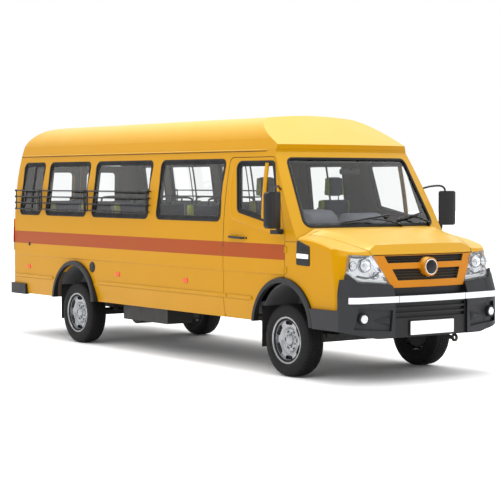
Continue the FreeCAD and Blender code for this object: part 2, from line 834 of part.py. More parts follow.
def nose_solid(inset):
    """The front end as a solid: a lofted crown with crisp bonnet lines, cut to the nose's plan."""
    body = Part.makeLoft([nose_section(station, inset) for station in nose_stations()], True, False)
    return body.common(nose_plan(inset))


def seam_plan(gap):
    """Everything between the seams of the two fenders, from the door posts to the headlamps."""
    x = front_axle
    seam = [V(x + station[0], station[1] - gap, 0) for station in nose_stations()]
    other = [V(point.x, -point.y, 0) for point in reversed(seam)]
    return Part.Face(Part.makePolygon(seam + other + seam[:1])).extrude(V(0, 0, 1700))


def bonnet_plan(side_gap, rear_gap):
    """Plan of the bonnet: it narrows along the fenders' seams from the cowl to the headlamps."""
    x = front_axle
    seam = [V(x + station[0], station[1] - side_gap, 0) for station in nose_stations()[2:]]
    seam[0].x += rear_gap
    other = [V(point.x, -point.y, 0) for point in reversed(seam)]
    rear = edge([other[-1], V(seam[0].x + size("bonnet_rear_bow"), 0, 0), seam[0]])
    return Part.Face(Part.Wire([rear] + Part.makePolygon(seam + other).Edges)).extrude(V(0, 0, 1700))


def bonnet_hinges():
    """Cranked arms of the bonnet and the forked lugs under the scuttle that carry their pins."""
    x, z = front_axle + size("bonnet_hinge_ahead"), size("bonnet_hinge_level")
    pin, gap = size("hinge_pin_radius"), size("hinge_gap")
    eye = pin + size("hinge_radius")
    deep, reach = size("bonnet_arm_drop"), size("bonnet_arm_drop") + 90
    arms, lugs = [], []
    for side in (RIGHT, LEFT):
        y = side * size("bonnet_arm_half")
        half = size("hinge_radius") / 2
        arm = block(x - eye, x + eye, y - half, y + half, z - deep, z)
        arm = arm.fuse([block(x - eye, x + reach, y - half, y + half, z - deep, z - deep + 2 * eye),
                        block(x + reach - 2 * eye, x + reach, y - half, y + half, z - deep, z + 60),
                        Part.makeCylinder(eye, 2 * half, V(x, y - half, z), V(0, 1, 0))])
        arms.append(arm.cut(Part.makeCylinder(pin + gap, 60, V(x, y - 30, z), V(0, 1, 0))))
        wide_half = half + 1
        ears = [block(x - eye, x + eye, *sorted((y + way * wide_half, y + way * (wide_half + 6))),
                      z - eye, z + 60) for way in (-1, 1)]
        bolt = Part.makeCylinder(pin, 2 * wide_half + 12, V(x, y - wide_half - 6, z), V(0, 1, 0))
        lugs.append(bolt.fuse(ears))
    return Part.makeCompound(arms), Part.makeCompound(lugs)


def lamp_outline(side, gap):
    """Outline (y, z) of a headlamp seen from the front."""
    outer = size("lamp_outer_half") - gap
    points = [(size("lamp_top_half") + gap, size("bonnet_lip_level") - gap),
              (size("lamp_bottom_half") + gap, size("lamp_bottom_level") + gap),
              (size("lamp_heel_half"), size("lamp_heel_level") + gap),
              (outer, size("lamp_outer_low_level") + gap),
              (outer, size("lamp_outer_top_level") - gap)]
    return mirrored(points, side)


def nose_opening(side):
    """Outline (y, z) of everything ahead of a fender: headlamp, grille and bumper."""
    outer, corner = size("lamp_outer_half"), size("bumper_corner_level")
    low, wide_half = size("fender_bottom_level") - 10, size("half_width") + 50
    points = [(0, low), (wide_half, low), (wide_half, corner), (outer, corner),
              (outer, size("lamp_outer_top_level")), (size("lamp_top_half"), size("bonnet_lip_level")),
              (0, size("bonnet_lip_level"))]
    return mirrored(points, side)


def make_bonnet():
    x = front_axle
    gap = size("bonnet_side_gap")
    bonnet = nose_solid(0).cut(nose_solid(size("bonnet_thickness")))
    bonnet = bonnet.common(bonnet_plan(gap, size("bonnet_gap")))
    bonnet = bonnet.common(block(x, far_front, -wide, wide, size("bonnet_lip_level") + gap, 1700))
    arms, lugs = bonnet_hinges()
    under = nose_solid(size("bonnet_thickness") - 1)
    node("bonnet", feature("Bonnet", bonnet.fuse(arms.common(under).Solids)))
    return lugs


def make_fenders():
    """Fenders from the door posts to the headlamps, their tops running in a sliver over the lamps."""
    x = front_axle
    start = x + size("cab_door_front")
    skin = nose_solid(0).cut(nose_solid(size("nose_skin")))
    for side, name in ((RIGHT, "fender_right"), (LEFT, "fender_left")):
        low_y, high_y = sorted((side * 380, side * wide))
        fender = skin.common(block(start, far_front, low_y, high_y, size("fender_bottom_level"), 1700))
        fender = fender.cut(seam_plan(0))
        fender = fender.cut(arch_prism(x, side, size("arch_radius")))
        fender = fender.cut(front_prism(nose_opening(side), size("lamp_rear_ahead"), 1300))
        for _, fixed, pocket in side_hinges(side, size("cab_hinge_ahead")):
            fender = fender.cut(pocket).fuse(fixed)
        node(name, feature(name.title().replace("_", ""), fender))


def make_headlamps():
    shell = nose_solid(0).cut(nose_solid(size("lamp_depth")))
    gap = size("seat_clearance")
    lamps = [shell.common(front_prism(lamp_outline(side, gap), size("lamp_rear_ahead") + gap, 1300))
             for side in (RIGHT, LEFT)]
    node("headlamps", feature("Headlamps", Part.makeCompound(lamps)))


def grille_row(top, low, half):
    """Outline of one row of the grille, a little narrower at its lower edge."""
    foot = half - (top - low) * size("grille_row_taper")
    return [(half, top), (foot, low), (-foot, low), (-half, top)]


def grille_outline(gap):
    """Outline (y, z) of the grille panel: its slanted ends follow the headlamps."""
    lip, low = size("bonnet_lip_level"), size("grille_bottom_level")
    half = size("lamp_top_half") - gap
    slope = (size("lamp_top_half") - size("lamp_bottom_half")) / (lip - size("lamp_bottom_level"))
    foot = half - (lip - low) * slope
    return [(half, lip), (foot, low), (-foot, low), (-half, lip)]


def make_grille():
    """Painted surround with two slatted rows let into it, a bar between them and a round boss."""
    panel = nose_solid(0).cut(nose_solid(size("grille_depth")))
    panel = panel.common(front_prism(grille_outline(size("seat_clearance")), 850, 1300))
    floor = nose_solid(size("grille_recess"))
    slat_room = nose_solid(size("grille_slat_setback")).cut(nose_solid(size("grille_recess") + 1))
    for row, slats in (("upper", 2), ("lower", 3)):
        top, bottom = size("grille_%s_top" % row), size("grille_%s_low" % row)
        half = size("grille_%s_half" % row)
        panel = panel.cut(front_prism(grille_row(top, bottom, half), 850, 1300).cut(floor))
        for index in range(1, slats + 1):
            level = bottom + (top - bottom) * index / (slats + 1)
            slat = grille_row(level + size("grille_slat") / 2, level - size("grille_slat") / 2,
                              half - (top - level) * size("grille_row_taper"))
            panel = panel.fuse(front_prism(slat, 850, 1300).common(slat_room))
    level, radius = size("badge_level"), size("badge_radius")
    start, end = front_axle + size("nose_ahead") - 85, front_axle + size("badge_ahead")
    boss = Part.makeCone(radius + 5, radius, end - start, V(start, 0, level), V(1, 0, 0))
    face = Part.makeCylinder(size("badge_face_radius"), 20, V(end - 4, 0, level), V(1, 0, 0))
    node("grille", feature("Grille", panel.fuse(boss).cut(face)))


def make_scuttle(lugs):
    """The panel between the windscreen and the bonnet, with the lugs of the bonnet's hinges under it."""
    skin = nose_solid(0).cut(nose_solid(size("nose_skin"))).common(seam_plan(size("seat_clearance")))
    scuttle = skin.common(block(front_axle + size("cab_door_front"), front_axle + size("nose_mid_ahead"),
                                -wide, wide, size("pillar_foot_level"), 1700))
    scuttle = scuttle.cut(bonnet_plan(0, 0)).fuse(lugs.common(nose_solid(size("nose_skin") - 1)).Solids)
    node("scuttle", feature("Scuttle", scuttle))


def bumper_side_view():
    """The bumper seen from the side: a low wing back to the arch and a tall corner behind the lamp."""
    x = front_axle
    rear, low, wing = x + size("lamp_rear_ahead"), size("bumper_bottom_level"), size("bumper_wing_level")
    top = size("lamp_outer_low_level")
    start, front = x + 380, far_front + 60
    points = [(start, low), (front, low), (front, top), (rear, top), (rear, wing), (start, wing)]
    radii = [5, 5, 5, size("bumper_corner_round"), 25, 5]
    wire = rounded_loop([V(at, -1300, level) for at, level in points], radii)
    return Part.Face(wire).extrude(V(0, 2600, 0))


def bumper_layer(proud, behind, points):
    """A layer over the nose between two reaches, seen from the front as an outline of (y, z) points."""
    return front_prism(points, 300, 1300).common(nose_plan(-proud)).cut(nose_plan(-behind))


def make_front_bumper():
    """Bumper with shoulders under the lamps, bright strip, fog lamp recesses and a slatted middle."""
    thick = size("bumper_thickness")
    reach = size("half_width") + size("flare_reach")
    low, shelf, top = size("bumper_bottom_level"), size("bumper_shelf_level"), size("lamp_outer_low_level")
    chamfer = size("bumper_chamfer")
    outline = [(-reach, low + chamfer), (-650, low), (650, low), (reach, low + chamfer), (reach, shelf),
               (-reach, shelf)]
    band = nose_plan(-thick).common(front_prism(outline, 300, 1300))
    slab = nose_plan(-thick).common(block(front_axle, far_front + 60, -reach, reach, shelf - 1, shelf))
    crown = max(slab.Faces, key=lambda face: face.CenterOfMass.z)
    shoulders = crown.extrude(V(-size("bumper_cap_lean"), 0, top - shelf))
    middle = size("bumper_middle_half")
    shoulders = shoulders.cut(block(front_axle, far_front + 60, -middle, middle, shelf, top + 1))
    shoulders = shoulders.cut(front_prism(grille_outline(-size("seat_clearance")), 300, 1300))
    for side in (RIGHT, LEFT):
        shoulders = shoulders.cut(front_prism(lamp_outline(side, -size("seat_clearance")), 300, 1300))
        outer = sorted((side * size("lamp_outer_half"), side * wide * 1.1))
        corner = block(front_axle, far_front + 60, *outer, size("bumper_corner_level"), top + 1)
        shoulders = shoulders.cut(corner)
    bumper = band.fuse(shoulders).cut(nose_solid(-size("seat_clearance"))).common(bumper_side_view())
    floor_low, under_grille = shelf - 10, size("grille_bottom_level") - size("seat_clearance")
    recess = [(-middle, floor_low), (middle, floor_low), (middle, under_grille), (-middle, under_grille)]
    ledge = [(-middle, floor_low), (middle, floor_low), (middle, shelf), (-middle, shelf)]
    bumper = bumper.fuse([bumper_layer(-14, -26, recess), bumper_layer(5, -20, ledge)])
    for side in (RIGHT, LEFT):
        bumper = bumper.cut(arch_prism(front_axle, side, size("arch_radius") + size("flare_width") + 0.3))
        recess = mirrored([(850, 720), (480, 690), (500, 495), (890, 525)], side)
        bumper = bumper.cut(bumper_layer(thick + 5, thick - size("fog_recess"), recess))
        centre = V(front_axle + 700, side * size("fog_lamp_half"), size("fog_lamp_level"))
        lamp = Part.makeCylinder(size("fog_lamp_radius"), 400, centre, V(1, 0, 0))
        bumper = bumper.fuse(lamp.common(nose_plan(8 - thick)).cut(nose_plan(-10)))
    floor = thick - size("bumper_middle_recess")
    strip_low, strip_top = size("strip_low_level"), size("strip_top_level")
    panel = [(middle, low - 1), (middle, strip_low), (-middle, strip_low), (-middle, low - 1)]
    bumper = bumper.cut(bumper_layer(thick + 5, floor, panel))
    slot_end = middle - size("slot_margin")
    for index in range(int(size("slot_count"))):
        level = size("slot_lowest_level") + index * size("slot_pitch")
        above = level + size("slot_height")
        slot = [(slot_end, level), (slot_end, above), (-slot_end, above), (-slot_end, level)]
        bumper = bumper.cut(bumper_layer(floor + 5, 10, slot))
    half, seam = size("strip_half"), size("strip_seam_half")
    for start, end in ((-half, -seam - 2), (2 - seam, seam - 2), (seam + 2, half)):
        strip = [(start, strip_low), (end, strip_low), (end, strip_top), (start, strip_top)]
        bumper = bumper.fuse(bumper_layer(thick + size("strip_proud"), thick - 5, strip))
    node("front_bumper", feature("FrontBumper", bumper))


def make_rear_bumper():
    """Bumper bar across the tail with corners that turn forward."""
    back = -(size("wheelbase") + size("front_overhang") + size("rear_overhang")) / 2
    low, high = size("rear_bumper_bottom_level"), size("back_door_bottom") - 12
    half, wing, corner = size("rear_bumper_half"), back + size("rear_bumper_wing"), size("rear_bumper_corner")
    corners = [V(back, -half, low), V(back, half, low), V(wing, half, low), V(wing, -half, low)]
    outer = rounded_loop(corners, [corner, corner, 5, 5])
    bar = Part.Face(outer).extrude(V(0, 0, high - low))
    bar = bar.cut(block(rear_face - 1, back + 500, -1000, 1000, 0, 1000).common(
        outer_solid.common(block(rear_face - 1, back + 500, -1000, 1000, 0, 1000))))
    bar = bar.cut(block(rear_face + 40, back + 500, -905, 905, 0, 1000))
    node("rear_bumper", feature("RearBumper", bar))


def make_tail_lamps():
    lamps = []
    skin = cabin_solid(-12).cut(cabin_solid(-0.3))
    for side in (RIGHT, LEFT):
        low_y, high_y = sorted((side * (size("back_door_half") + 50), side * wide))
        lamps.append(skin.common(block(rear_face - 60, rear_face + 95, low_y, high_y, 1030, 1420)))
    node("tail_lamps", feature("TailLamps", Part.makeCompound(lamps)))


def tow_eye(x, way):
    """Towing eye on a plate under the left rail, at the front or the rear end."""
    radius, level = size("tow_eye_radius"), size("tow_eye_level")
    y = size("tow_eye_half") - size("tow_eye_thickness") / 2
    top = size("floor_level") - size("floor_thickness") - size("rail_height")
    low_x, high_x = sorted((x, x - way * 3 * radius))
    plate = block(low_x, high_x, y, y + size("tow_eye_thickness"), level - radius / 2, level + radius / 2)
    low_x, high_x = sorted((x - way * 2 * radius, x - way * 3.4 * radius))
    plate = plate.fuse([block(low_x, high_x, y, y + size("tow_eye_thickness"), level - radius / 2, top + 20),
                        Part.makeCylinder(radius, size("tow_eye_thickness"), V(x, y, level), V(0, 1, 0))])
    return plate.cut(Part.makeCylinder(size("tow_eye_bore"), 100, V(x, y - 40, level), V(0, 1, 0)))


def make_chassis():
    """Ladder frame: two channel rails that open inwards, and cross-members between them."""
    length = "wheelbase + front_overhang + rear_overhang - 300"
    parts = []
    start = "-(wheelbase + front_overhang + rear_overhang) / 2 + 120"
    for side, name, web in ((RIGHT, "Right", "rail_wall"), (LEFT, "Left", "-1")):
        foot = "%d * rail_half_spacing - rail_width / 2" % side
        solid = box("Rail" + name, length, "rail_width", "rail_height", start, foot, RAIL_BOTTOM)
        room = box("Channel" + name, length + " + 2", "rail_width - rail_wall + 1",
                   "rail_height - 2 * rail_wall", start + " - 1", foot + " + " + web, RAIL_BOTTOM + " + rail_wall")
        parts.append(cut("OpenRail" + name, solid, room))
    count = int(size("cross_member_count"))
    for index in range(count):
        step = "(wheelbase + front_overhang + rear_overhang - 420) / (cross_member_count - 1)"
        parts.append(box("CrossMember%d" % index, "80", "2 * rail_half_spacing + rail_width - 2",
                         "rail_height * 0.6", start + " + 10 + %d * %s" % (index, step),
                         "1 - rail_half_spacing - rail_width / 2", RAIL_BOTTOM + " + rail_height * 0.2"))
    irons = []
    near, far = size("rail_half_spacing") - 30, size("rail_half_spacing") + 30
    for side in (RIGHT, LEFT):
        inner, outer = sorted((side * near, side * far))
        irons.append(block(far_front - 190, far_front, inner, outer, 530, 600).common(nose_solid(0)))
    parts.append(feature("BumperIrons", Part.makeCompound(irons)))
    parts.append(feature("FrontTowEye", tow_eye(front_axle + size("front_tow_eye_ahead"), 1)))
    parts.append(feature("RearTowEye", tow_eye(rear_axle - size("rear_tow_eye_behind"), -1)))
    node("chassis_frame", fuse("ChassisFrame", parts))


def make_floor():
    """Cabin floor with rear wheel boxes, front wheel houses, the entry step and the firewall."""
    gap = size("seat_clearance")
    skin = 12
    low, high = size("floor_level") - size("floor_thickness"), size("floor_level")
    room = cabin_solid(size("wall") + gap)
    front = front_axle + size("cab_door_front")
    near_door = size("half_width") - size("wall") - 20
    entry_front = front_axle + size("entry_door_front")
    entry_back = entry_front - size("entry_door_length")
    pan = room.common(block(rear_face, front + 24, -wide, wide, low, high))
    for side in (RIGHT, LEFT):
        pan = pan.cut(block(cab_split - 10, front + 100, *sorted((side * near_door, side * wide)), 0, 1400))
    pan = pan.cut(block(entry_back - 10, entry_front + 10, near_door, wide, 0, 1400))
    pan = pan.cut(block(rear_face, rear_face + size("rear_bow") + size("wall") + 12, -size("back_door_half"),
                        size("back_door_half"), 0, 1400))
    post = size("door_post_half") - gap
    under_cowl = nose_solid(size("nose_skin") + gap)
    wall = block(front + 1, front + 24, -post, post, low, size("cowl_level") - 10).common(under_cowl)
    shelf = room.common(block(front + 1, front + 95, -post, post, size("cowl_level") - 30,
                              size("cowl_level") - 10)).common(under_cowl)
    pan = pan.fuse([wall, shelf])
    for axle, near in ((rear_axle, half_track - size("tyre_width") / 2 - 60), (front_axle, 480)):
        for side in (RIGHT, LEFT):
            pan = pan.cut(arch_prism(axle, side, size("arch_radius"), near - skin, wide))
            house = arch_prism(axle, side, size("arch_radius"), near - skin, wide)
            house = house.cut(arch_prism(axle, side, size("arch_radius") - skin, near, wide))
            house = house.common(room).common(block(rear_face, front + 24, -wide, wide, low, 1400))
            if axle == front_axle:
                beside = sorted((side * near_door, side * wide))
                house = house.cut(block(rear_face, far_front, *beside, 0, 1400))
            pan = pan.fuse(house)
    well_in, well_out = near_door - 330, near_door - 25
    pan = pan.cut(block(entry_back + 60, entry_front - 60, well_in, wide, low - 1, high + 1))
    tread = block(entry_back + 48, entry_front - 48, well_in - 12, well_out, 480, 492)
    riser = block(entry_back + 48, entry_front - 48, well_in - 12, well_in, 480, high)
    ends = [block(x, x + 12, well_in - 12, well_out, 480, high) for x in (entry_back + 48, entry_front - 60)]
    node("floor", feature("Floor", pan.fuse([tread, riser] + ends).removeSplitter()))


def make_engine():
    node("engine", box("Engine", "700", "520", "600", FRONT_AXLE + " + 80", "-260", RAIL_BOTTOM + " + 80"))
    parts = [
        box("Gearbox", "620", "300", "240", FRONT_AXLE + " - 540.3", "-150", RAIL_BOTTOM + " - 100"),
        cylinder("Shaft", "45", "wheelbase - 540 - 185", REAR_AXLE + " + 190.3", "0", "tyre_radius + 70",
                 V(1, 0, 0)),
    ]
    node("driveline", fuse("Driveline", parts))
    tank = [box("Tank", "900", "330", "250", REAR_AXLE + " + 900", "-830", RAIL_BOTTOM + " - 170")]
    for index in (0, 1):
        tank.append(box("TankBracket%d" % index, "60",
                        "830 - rail_half_spacing - rail_width / 2 - seat_clearance", "20",
                        REAR_AXLE + " + 1000 + %d * 640" % index, "-830", RAIL_BOTTOM + " + 20"))
    node("fuel_tank", fuse("FuelTank", tank))


def leaf_spring(axle_x, side):
    """A pack of curved leaves, each shorter than the one above it, with eyes hung from the rail."""
    y = side * size("spring_half_spacing") - size("spring_width") / 2
    width = size("spring_width")
    seat = size("tyre_radius") + size("axle_tube_radius")
    count, thick, reach = int(size("spring_leaves")), size("spring_leaf"), size("spring_half_length")
    top = seat + count * thick
    parts = [block(axle_x - 45, axle_x + 45, y, y + width, size("tyre_radius"), seat + 2),
             block(axle_x - 55, axle_x + 55, y - 6, y + width + 6, top, top + 12)]
    for index in range(count):
        share = 1 - 0.2 * (count - 1 - index)
        low = seat + thick * index
        ends = low + size("spring_camber") * share ** 2
        under = [V(axle_x - reach * share, y, ends), V(axle_x, y, low), V(axle_x + reach * share, y, ends)]
        over = [point + V(0, 0, thick + 1) for point in reversed(under)]
        wire = Part.Wire([edge(under), edge([under[2], over[0]]), edge(over), edge([over[2], under[0]])])
        parts.append(Part.Face(wire).extrude(V(0, width, 0)))
    radius = size("spring_eye_radius")
    level = top + size("spring_camber") - 6
    rail = size("floor_level") - size("floor_thickness") - size("rail_height") - 2 * size("seat_clearance")
    for x in (axle_x - reach, axle_x + reach):
        parts.append(Part.makeCylinder(radius, width, V(x, y, level), V(0, 1, 0)))
        parts.append(block(x - radius, x + radius, y + 8, y + width - 8, level, rail))
    return parts[0].fuse(parts[1:])


def make_axles():
    front = [box("FrontBeam", "70", "2 * kingpin_half - 90", "2 * axle_tube_radius", FRONT_AXLE + " - 35",
                 "-(kingpin_half - 45)", "tyre_radius - axle_tube_radius")]
    for side, name in ((RIGHT, "Right"), (LEFT, "Left")):
        front.append(cylinder("Kingpin" + name, "kingpin_radius", "150", FRONT_AXLE,
                              "%d * kingpin_half" % side, "tyre_radius - 75"))
        front.append(cylinder("BeamEye" + name, "30", "60", FRONT_AXLE, "%d * kingpin_half" % side,
                              "tyre_radius - 30"))
        front.append(box("BeamNeck" + name, "50", "60", "50", FRONT_AXLE + " - 25",
                         "%d * (kingpin_half - 30) - 30" % side, "tyre_radius - 25"))
        front.append(feature("FrontSpring" + name, leaf_spring(front_axle, side)))
    node("front_axle", fuse("FrontAxle", front))
    rear = [cylinder("RearTube", "axle_tube_radius", "track - 120", REAR_AXLE, "-(track / 2 - 60)",
                     "tyre_radius", V(0, 1, 0)),
            cylinder("Differential", "diff_radius", "200", REAR_AXLE, "-100", "tyre_radius", V(0, 1, 0)),
            cylinder("PinionNose", "60", "190", REAR_AXLE, "0", "tyre_radius + 70", V(1, 0, 0)),
            cylinder("HubRight", "hub_radius", "80", REAR_AXLE, "-(track / 2 + 20)", "tyre_radius",
                     V(0, 1, 0)),
            cylinder("HubLeft", "hub_radius", "80", REAR_AXLE, "track / 2 - 60", "tyre_radius", V(0, 1, 0))]
    for side, name in ((RIGHT, "Right"), (LEFT, "Left")):
        rear.append(feature("RearSpring" + name, leaf_spring(rear_axle, side)))
    node("rear_axle", fuse("RearAxle", rear))
    for side, name in ((RIGHT, "right"), (LEFT, "left")):
        make_knuckle(side, name)


def make_knuckle(side, name):
    """Steering knuckle: a fork round the beam's eye and the stub that carries the wheel."""
    title = name.title()
    fork = box("Fork" + title, "50", "90", "130", FRONT_AXLE + " - 25",
               "%d * kingpin_half - 45 + %d * 20" % (side, side), "tyre_radius - 65")
    slot = box("ForkSlot" + title, "62", "70", "62", FRONT_AXLE + " - 31",
               "%d * kingpin_half - 35 - %d * 1" % (side, side), "tyre_radius - 31")
    pin = cylinder("PinBore" + title, "kingpin_radius + hub_running_gap", "152", FRONT_AXLE,
                   "%d * kingpin_half" % side, "tyre_radius - 76")
    forked = cut("Forked" + title, cut("ForkOpen" + title, fork, slot), pin)
    reach = "track / 2 - kingpin_half - 36 + 20"
    stub = cylinder("Stub" + title, "hub_radius", reach, FRONT_AXLE,
                    "kingpin_half + 36" if side == LEFT else "-(track / 2 + 20)", "tyre_radius", V(0, 1, 0))
    node("knuckle_" + name, fuse("Knuckle" + title, [forked, stub]))


def wheel_opening(radius, turn, half_length, half_width):
    """A prism through the wheel for one opening, long round the wheel and rounded at its ends."""
    points = []
    for index in range(8):
        angle = 2 * math.pi * index / 8
        points.append(V(half_length * math.cos(angle), -60, radius + half_width * math.sin(angle)))
    prism = Part.Face(Part.makePolygon(points + points[:1])).extrude(V(0, 200, 0))
    prism.rotate(V(0, 0, 0), V(0, 1, 0), turn)
    return prism


def make_rim(half, rim, bore):
    """Dished steel wheel with oval openings near the rim, small ones round the hub and a raised cap."""
    outline = [(40, 4), (40, 40), (84, 40), (98, 26), (156, 46), (172, 40), (182, half - 26),
               (rim + 14, half - 18), (rim + 14, half - 23.7), (rim, half - 24), (rim, 24 - half),
               (rim + 14, 23.7 - half), (rim + 14, 18 - half), (rim - 12, 20 - half), (168, 24), (96, 8)]
    wheel = ring_of_flats(outline, int(size("wheel_flats")))
    count = int(size("wheel_openings"))
    openings = []
    for index in range(count):
        turn = 360 * index / count
        openings.append(wheel_opening(142, turn, 27, 15))
        openings.append(wheel_opening(90, turn + 180 / count, 9, 5))
    cap = Part.makeCylinder(size("wheel_cap_radius"), size("wheel_cap_reach") - 32, V(0, 24, 0), V(0, 1, 0))
    crown = Part.makeCone(size("wheel_cap_radius"), size("wheel_cap_radius") - 10, 8,
                          V(0, size("wheel_cap_reach") - 8, 0), V(0, 1, 0))
    wheel = wheel.cut(Part.makeCompound(openings)).fuse([cap, crown])
    return wheel.cut(Part.makeCylinder(bore, 44, V(0, -20, 0), V(0, 1, 0)))


def make_wheels():
    """Four tyres and rims: one of each is built and mirrored for the other side."""
    half = size("tyre_width") / 2
    rim = size("rim_radius")
    tyre = size("tyre_radius")
    section = [(rim + 0.3, 24 - half), (rim + 15, 24 - half), (rim + 32, 8 - half), ((rim + tyre) / 2, -half),
               (tyre - 36, 8 - half), (tyre, 46 - half)]
    section += [(radius, -offset) for radius, offset in reversed(section)]
    left = {"tyre": ring_of_flats(section, int(size("wheel_flats"))),
            "rim": make_rim(half, rim, size("hub_radius") + size("hub_running_gap"))}
    for axle, end in ((front_axle, "front"), (rear_axle, "rear")):
        for side, name in ((RIGHT, "right"), (LEFT, "left")):
            centre = V(axle, side * half_track, tyre)
            for label, shape in left.items():
                solid = shape if side == LEFT else shape.mirror(V(0, 0, 0), V(0, 1, 0))
                piece = feature("%s%s%s" % (label.title(), end.title(), name.title()), solid)
                piece.Placement = FreeCAD.Placement(centre, FreeCAD.Rotation())
                node("%s_%s_%s" % (label, end, name), piece)


def make_flares():
    """Black arch trims that stand proud of the sides, one round each wheel arch."""
    rings = []
    for axle in (front_axle, rear_axle):
        for side in (RIGHT, LEFT):
            inner = size("half_width") - 30
            outer = size("half_width") + size("flare_reach")
            ring = arch_prism(axle, side, size("arch_radius") + size("flare_width"), inner, outer)
            ring = ring.cut(arch_prism(axle, side, size("arch_radius"), inner - 10, outer + 10))
            rounded = [line for line in ring.Edges if line.BoundBox.YLength < 1 and line.BoundBox.ZMin > 100
                       and abs(line.CenterOfMass.y - side * outer) < 1 and line.BoundBox.XLength > 900]
            ring = ring.makeChamfer(14, rounded)
            ring = ring.common(block(axle - 700, axle + 700, -1100, 1100, size("sill_level"), 1200))
            ring = ring.cut(cabin_solid(-0.3)).cut(nose_solid(-0.3))
            rings.append(ring)
    node("arch_trims", feature("ArchTrims", Part.makeCompound(rings)))


def make_mud_flaps():
    flaps = []
    for axle in (front_axle, rear_axle):
        for side in (RIGHT, LEFT):
            outer = size("sill_half_width") - size("wall") - 10
            low_y, high_y = sorted((side * (outer - 230), side * outer))
            x = axle - size("arch_radius") - 20
            top = size("floor_level") - size("floor_thickness") - size("seat_clearance")
            flaps.append(block(x, x + size("flap_thickness"), low_y, high_y, 250, top))
    node("mud_flaps", feature("MudFlaps", Part.makeCompound(flaps)))


def make_window_bars():
    """Guard bars across the rear three windows, each set carried by two brackets."""
    sets = []
    level = size("bar_lowest_level")
    count = int(size("bar_count"))
    radius, sides = size("bar_radius"), int(size("bar_sides"))
    overlap = size("bar_overlap")
    for side in (RIGHT, LEFT):
        y = side * (tumblehome(level, 0) + size("bar_stand_off"))
        for window in ("three", "two", "one"):
            front = front_axle + size("window_%s_front" % window) + overlap
            back = front - size("window_%s_length" % window) - 2 * overlap
            posts = (back + 12, front - 12)
            pieces = []
            for index in range(count):
                z = level + index * size("bar_spacing")
                pieces.append(rod(V(back, y, z), V(front, y, z), radius, sides))
                foot = side * (tumblehome(z - radius, 0) + size("seat_clearance"))
                pieces += [rod(V(x, foot, z), V(x, y, z), radius * 0.8, sides) for x in posts]
            top = level + (count - 1) * size("bar_spacing")
            pieces += [rod(V(x, y, level), V(x, y, top), radius * 0.8, sides) for x in posts]
            sets.append(pieces[0].fuse(pieces[1:]))
    node("window_bars", feature("WindowBars", Part.makeCompound(sets)))


def make_seats():
    """Two-place benches on both sides of the aisle, each a padded seat and back on legs."""
    benches = []
    floor = size("floor_level")
    top = floor + size("seat_top_above_floor")
    depth = size("seat_cushion_depth")
    thick = size("seat_cushion_thickness")
    back_thick = size("seat_back_thickness")
    wall = size("half_width") - size("wall") - size("seat_wall_gap") - 10
    fixing = size("half_width") - size("wall") - size("seat_clearance")
    for side in (RIGHT, LEFT):
        for row in range(int(size("seat_rows"))):
            if side == LEFT and row == 0:
                continue
            x = front_axle + size("seat_first_back") - row * size("seat_row_pitch")
            low_y, high_y = sorted((side * wall, side * (wall - size("seat_width"))))
            cushion = block(x, x + depth, low_y, high_y, top - thick, top)
            rest = block(x - back_thick, x, low_y, high_y, top - thick, top + size("seat_back_height"))
            aisle = wall - size("seat_width")
            leg_y = sorted((side * (aisle + 60), side * (aisle + 100)))
            leg = block(x + 40, x + depth - 60, *leg_y, floor, top - thick)
            fixing_y = sorted((side * (wall - 1), side * fixing))
            other = block(x + 40, x + depth - 60, *fixing_y, top - thick, top - 40)
            bench = cushion.fuse([rest, leg, other])
            benches.append(bench)
    node("passenger_seats", feature("PassengerSeats", Part.makeCompound(benches)))
    seats = []
    for side in (RIGHT, LEFT):
        x = front_axle - 900
        low_y, high_y = sorted((side * 200, side * 690))
        base = block(x, x + 480, low_y, high_y, floor + 250, floor + 390)
        back = block(x - 110, x, low_y + 10, high_y - 10, floor + 250, floor + 1010)
        head = block(x - 95, x - 20, low_y + 120, high_y - 120, floor + 1010, floor + 1230)
        leg = block(x + 60, x + 420, low_y + 60, high_y - 60, floor, floor + 250)
        seats.append(base.fuse([back, head, leg]))
    node("cab_seats", feature("CabSeats", Part.makeCompound(seats)))


